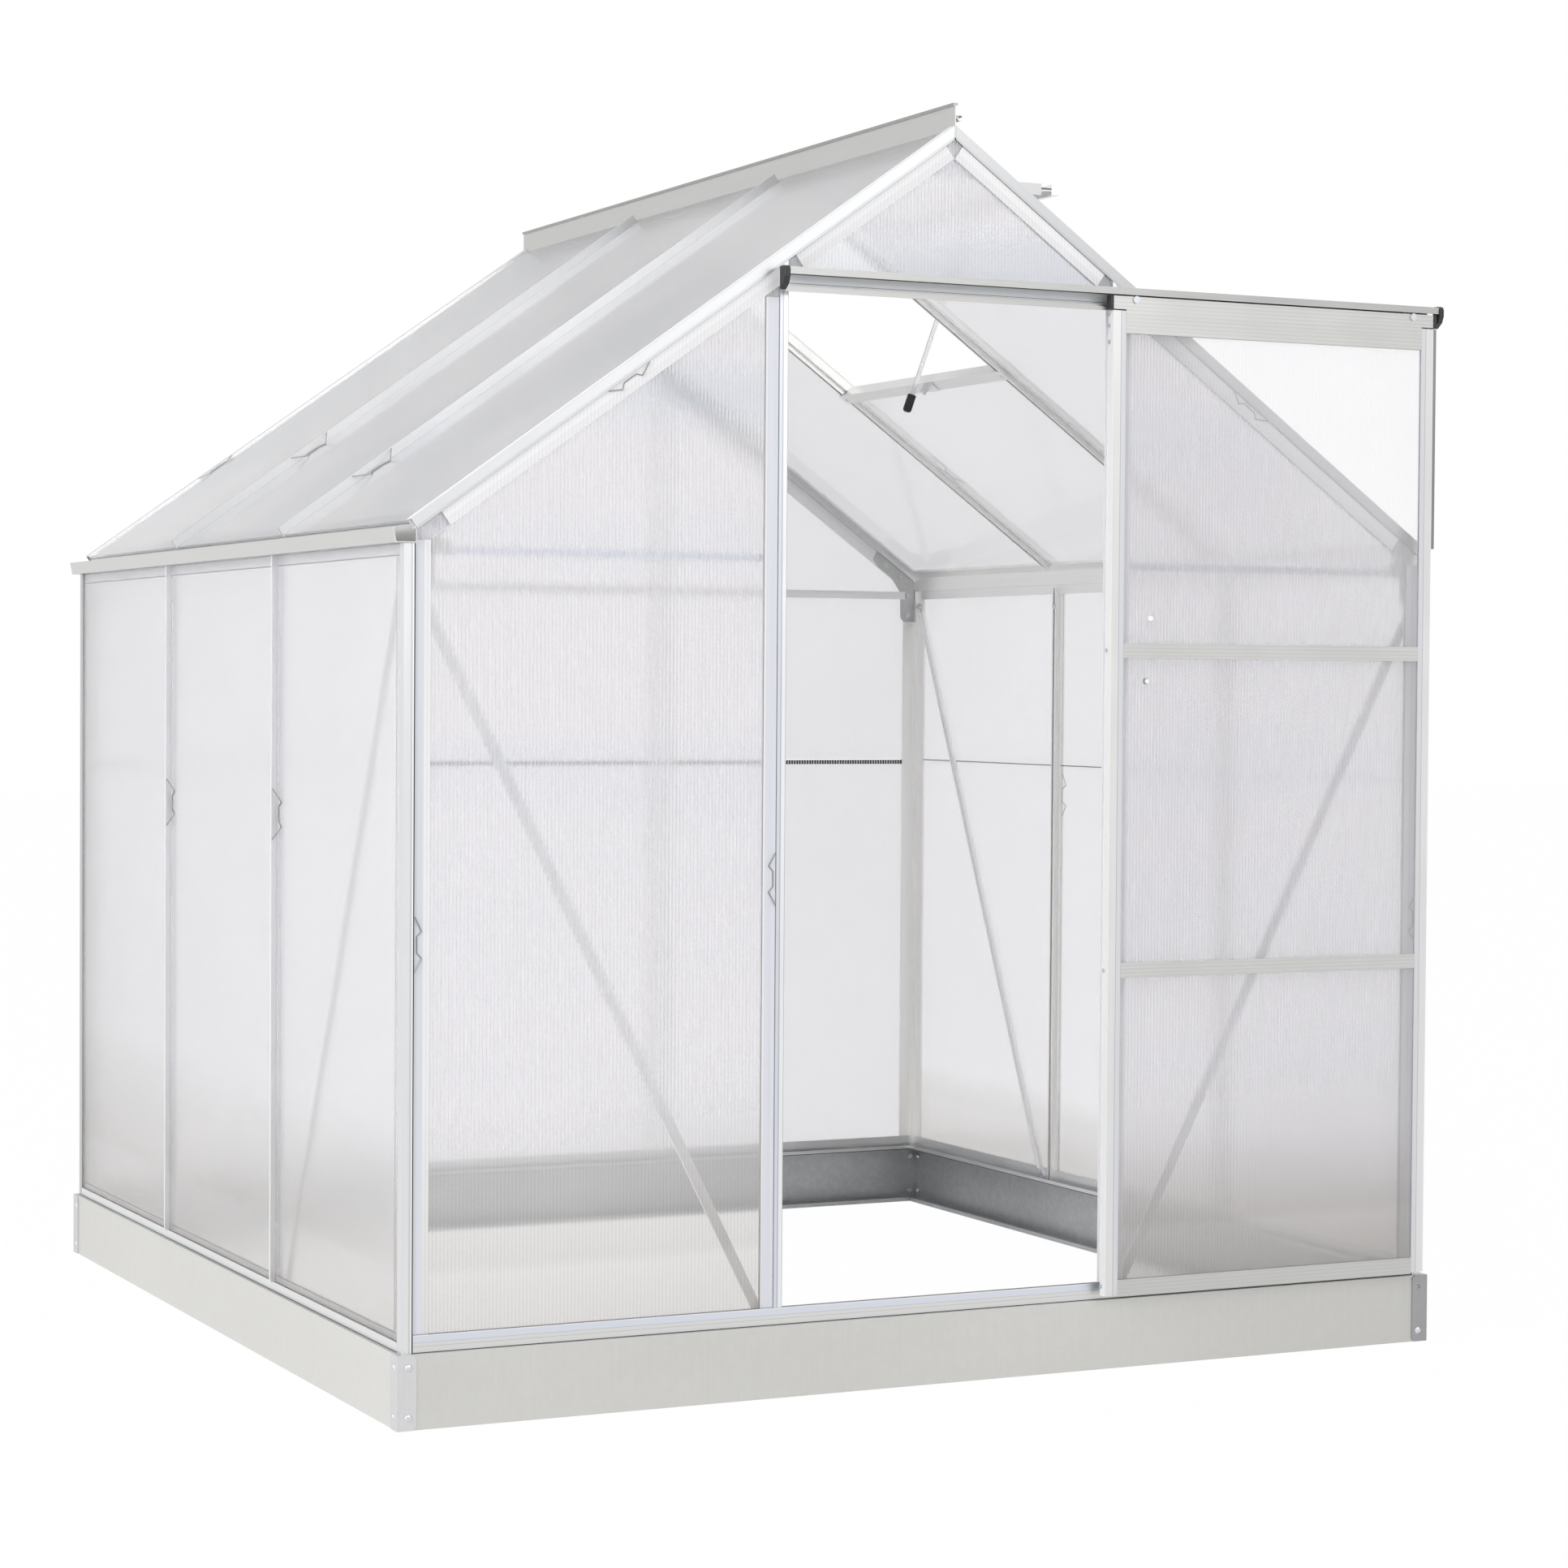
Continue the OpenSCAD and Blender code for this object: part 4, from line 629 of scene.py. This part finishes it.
seam_z = 0.945
sheet_spans = ((-0.892, -0.306), (-0.301, 0.301), (0.306, 0.892))
rear_low, rear_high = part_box("sheets_rear")
flute_shadow_blocks = bmesh.new()
for low_x, high_x in sheet_spans:
    for i in range(int((high_x - low_x) / PITCH)):
        x = low_x + (i + 0.5) * PITCH
        block(flute_shadow_blocks, (x - 0.0017, rear_low.y - 0.0001, seam_z - 0.0086),
              (x + 0.0017, rear_high.y + 0.0001, seam_z))
new_piece("flute_shadows", flute_shadow_blocks, flute_shadow_finish)

strip_finish = new_finish("joint_strip", Specular_IOR_Level=0.4)
wear = strip_finish.noise(strip_finish.stretch(strip_finish.place(), (1.0, 9.0, 1.0)), 6.0, 3.0)
drive(strip_finish, Base_Color=strip_finish.blend(wear, (0.16, 0.165, 0.17), (0.42, 0.43, 0.44)),
      Roughness=strip_finish.range(wear, 0.3, 0.7, 0.4, 0.6))
right_low, right_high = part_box("sheets_right")
strips = bmesh.new()
for low_y, high_y in sheet_spans:
    block(strips, (right_low.x + 0.0002, low_y, seam_z), (right_high.x - 0.0002, high_y, seam_z + 0.002))
new_piece("joint_strips", strips, strip_finish)

# ---- Edge tapes --------------------------------------------------------------------------
# Pale tape closes the flutes up the sides of the front sheets and under the front rafters.
# It is lilac beside the posts and keeps the ribs' faint print elsewhere. These colours hide the
# shade on the flanges behind the sheets: painted light. Lower down it is painted darker,
# painted shade like the sheets'.

tape_finish = new_finish("edge_tape", Roughness=0.5, Specular_IOR_Level=0.35)
place = tape_finish.place()
x, z = tape_finish.axis(place, 0), tape_finish.axis(place, 2)
print_rib = tape_finish.wave(x, PITCH)
# painted shade: darker towards the bottom, like the sheets
tape_low_shade = tape_finish.range(z, 0.50, 0.16, 0.0, 1.0)
level = 0.79 + 0.03 * print_rib - 0.10 * tape_low_shade + 0.06 * (below_roof(tape_finish) < 0.031)
pale = tape_finish.node("ShaderNodeCombineColor", {}, level, level * 0.995, level * 1.01 - 0.02 * tape_low_shade)
reach = abs(x)
beside = ((reach > 0.8785) + (reach < 0.322) * (reach > 0.302)) * (z < 1.70)
shine = tape_finish.noise(tape_finish.stretch(place, (300.0, 300.0, 1.5)), 1.0, 1.0)
lilac_tape = tape_finish.blend(shine, (0.64, 0.65, 0.71), (0.74, 0.75, 0.80))
drive(tape_finish, Base_Color=tape_finish.blend(beside, pale, lilac_tape),
      Roughness=0.45 + 0.1 * shine)

sheet_face, thin = 0.9080, 0.00015
front_face = -sheet_face
tapes = bmesh.new()
for sx in (-1, 1):
    for near, far, top in ((0.8682, 0.8928, 1.310), (0.3036, 0.3252, 1.695)):
        block(tapes, (min(sx * near, sx * far), front_face - thin, 0.1392),
              (max(sx * near, sx * far), front_face, top))
    slanted = bmesh.new()
    for start, end in ((0.031, 0.351), (0.3752, 1.058)):
        block(slanted, (start, front_face - thin, -0.0425), (end, front_face, -0.0182))
    lay = Matrix(((sx * math.cos(slope), 0, sx * math.sin(slope), 0), (0, 1, 0, 0),
                  (-math.sin(slope), 0, math.cos(slope), apex_z), (0, 0, 0, 1)))
    bmesh.ops.transform(slanted, matrix=lay, verts=slanted.verts)
    mesh = bpy.data.meshes.new("slanted")
    slanted.to_mesh(mesh)
    slanted.free()
    tapes.from_mesh(mesh)
    bpy.data.meshes.remove(mesh)
bmesh.ops.recalc_face_normals(tapes, faces=tapes.faces)
new_piece("edge_tapes", tapes, tape_finish)

# ---- Spring clips ------------------------------------------------------------------------
# Bent spring wire holds the sheets down. Each end hooks under a bar's bead, and the two
# knees press on the sheet.


def bend_wire(bm, points, radius=0.0008):
    """Slides a ring from bend to bend, mitred at each, and closes both ends."""
    path = [Vector(point) for point in points]
    ways = [(b - a).normalized() for a, b in zip(path, path[1:])]
    start = Matrix.Translation(path[0]) @ ways[0].to_track_quat("Z", "Y").to_matrix().to_4x4()
    ring = bmesh.ops.create_circle(bm, cap_ends=True, segments=6, radius=radius, matrix=start)["verts"]
    edges = list({edge for vert in ring for edge in vert.link_edges})
    for i, way in enumerate(ways):
        face = way if i + 1 == len(ways) else (way + ways[i + 1]).normalized()
        made = bmesh.ops.extrude_edge_only(bm, edges=edges)["geom"]
        moved = {item for item in made if isinstance(item, bmesh.types.BMVert)}
        edges = [item for item in made if isinstance(item, bmesh.types.BMEdge)
                 and set(item.verts) <= moved]
        for vert in moved:
            vert.co += way * ((path[i + 1] - vert.co).dot(face) / way.dot(face))
    bmesh.ops.edgeloop_fill(bm, edges=edges)


def spring_clip(bm, start, along, away, off, hook, reach=12.0):
    """A clip from start: along the bar, away from it over the sheet, and off the sheet's face."""
    along, away, off = Vector(along), Vector(away), Vector(off)
    outline = ((0.0, 1.0, hook), (21.0, reach, 1.2), (29.0, 0.4 * reach, 1.0), (53.0, 0.4 * reach, 1.0),
               (61.0, reach, 1.2), (82.0, 1.0, hook))
    bend_wire(bm, [Vector(start) + (along * a + away * b + off * c) / 1000.0 for a, b, c in outline])


wire_finish = new_finish("spring_wire", Metallic=0.9)
wire_grain = wire_finish.noise(wire_finish.place(), 700.0, 2.0)
drive(wire_finish, Base_Color=wire_finish.blend(wire_grain, (0.20, 0.20, 0.20), (0.36, 0.36, 0.35)),
      Roughness=wire_finish.range(wire_grain, 0.3, 0.7, 0.3, 0.5))

cosine, sine = math.cos(slope), math.sin(slope)
clips = bmesh.new()
for sy in (-1, 1):
    for sx in (-1, 1):
        # beside the corner posts, on the gables and on the side walls
        spring_clip(clips, (sx * 0.893, sy * sheet_face, 0.674), (0, 0, 1), (-sx, 0, 0), (0, sy, 0), 3.4)
        # under the gable rafters
        spring_clip(clips, (sx * 0.588, sy * sheet_face, apex_z - 0.588 * sine / cosine - 0.0225),
                    (-sx * cosine, 0, sine), (-sx * sine, 0, -cosine), (0, sy, 0), 3.4)
for sx in (-1, 1):
    # beside the door posts
    spring_clip(clips, (sx * 0.3035, -sheet_face, 0.761), (0, 0, 1), (sx, 0, 0), (0, -1, 0), 3.4)
    for y, z, way in ((-bar_y, 0.846, -1), (bar_y, 0.846, -1), (-bar_y, 0.470, 1)):
        # beside the wall bars
        spring_clip(clips, (sx * sheet_face, y + way * 0.0012, z), (0, 0, 1), (0, way, 0), (sx, 0, 0),
                    8.0, 26.0)
    for y, down in ((-bar_y, 0.955), (bar_y, 0.84), (0.892, 0.84)):
        # up the slopes, beside the roof bars and the rear rafters
        w = down - 0.003 * sine
        at = (sx * w * cosine - sx * 0.003 * sine, y - 0.0012, apex_z - w * sine - 0.003 * cosine)
        spring_clip(clips, at, (-sx * cosine, 0, sine), (0, -1, 0), (sx * sine, 0, cosine),
                    *((3.4, 16.0) if y > 0.8 else (12.6, 26.0)))
for z in (0.846, 0.674):
    for x in (-bar_y, bar_y):
        spring_clip(clips, (x + 0.0012, sheet_face, z), (0, 0, 1), (1, 0, 0), (0, 1, 0), 8.0)
bmesh.ops.recalc_face_normals(clips, faces=clips.faces)
new_piece("spring_clips", clips, wire_finish)

# ---- Door and vent metal -----------------------------------------------------------------
# The stiles' outer beads are bright. The ledge behind the sheet takes the sheet's tone and is
# less metallic, painted light against the shade there, with a painted shade line at its edge.
# The rails are warmer, with painted shade lines for the ribs along their length, and their
# lowest part is painted darker, painted shade. Pull discs and the vent's frame are paler.

stile = extruded("stile_metal", 2, tone=0.72, warm=0.002)
place = stile.place()
reach = abs(stile.axis(place, 0) - 0.584)
# painted light: the ledge behind the sheet takes the sheet's tone and is less metallic
overlay(stile, (reach < 0.2965) * (reach > 0.2), (0.66, 0.665, 0.69), 0.3)
# a painted shade line at the ledge's edge
overlay(stile, (reach > 0.2955) * (reach < 0.2965), (0.42, 0.42, 0.44))
overlay(stile, reach > 0.3100, (0.86, 0.86, 0.85), 0.0)
dress(stile, "door_stiles")
door_rail = extruded("door_rail_metal", 0, tone=0.61, warm=0.010)
height = door_rail.axis(door_rail.place(), 2)
# painted shade lines for the ribs along the rails
overlay(door_rail, (door_rail.wave(height, 0.006) > 0.8) * 0.35, (0.40, 0.40, 0.38))
# painted shade: the lowest part of the rails is darker
overlay(door_rail, (height < 0.175) * 0.3, (0.40, 0.40, 0.38))
dress(door_rail, "door_top_rail", "door_lower_rails")
fittings = pressed("door_fitting_zinc", (0.52, 0.55, 0.58), (0.80, 0.83, 0.86))
place = fittings.place()
x, z = fittings.axis(place, 0), fittings.axis(place, 2)
disc = (z > 1.09) * (z < 1.23) * (x > 0.31) * (x < 0.40)
overlay(fittings, disc, (0.92, 0.92, 0.93), 0.0)
dress(fittings, "door_fittings")
dress(extruded("vent_side_metal", 0, down_right, 0.62), "vent_side_rails")
dress(extruded("vent_metal", 1, tone=0.85, warm=0.008), "vent_hinge_rail", "vent_bottom_rail", "vent_sill")

bpy.context.scene.view_settings.view_transform = "Standard"
# sight passes through many refractive faces, and the sheets light each other
paths = bpy.context.scene.cycles
paths.transparent_max_bounces = paths.max_bounces = 32
paths.diffuse_bounces, paths.glossy_bounces, paths.transmission_bounces = 14, 8, 24
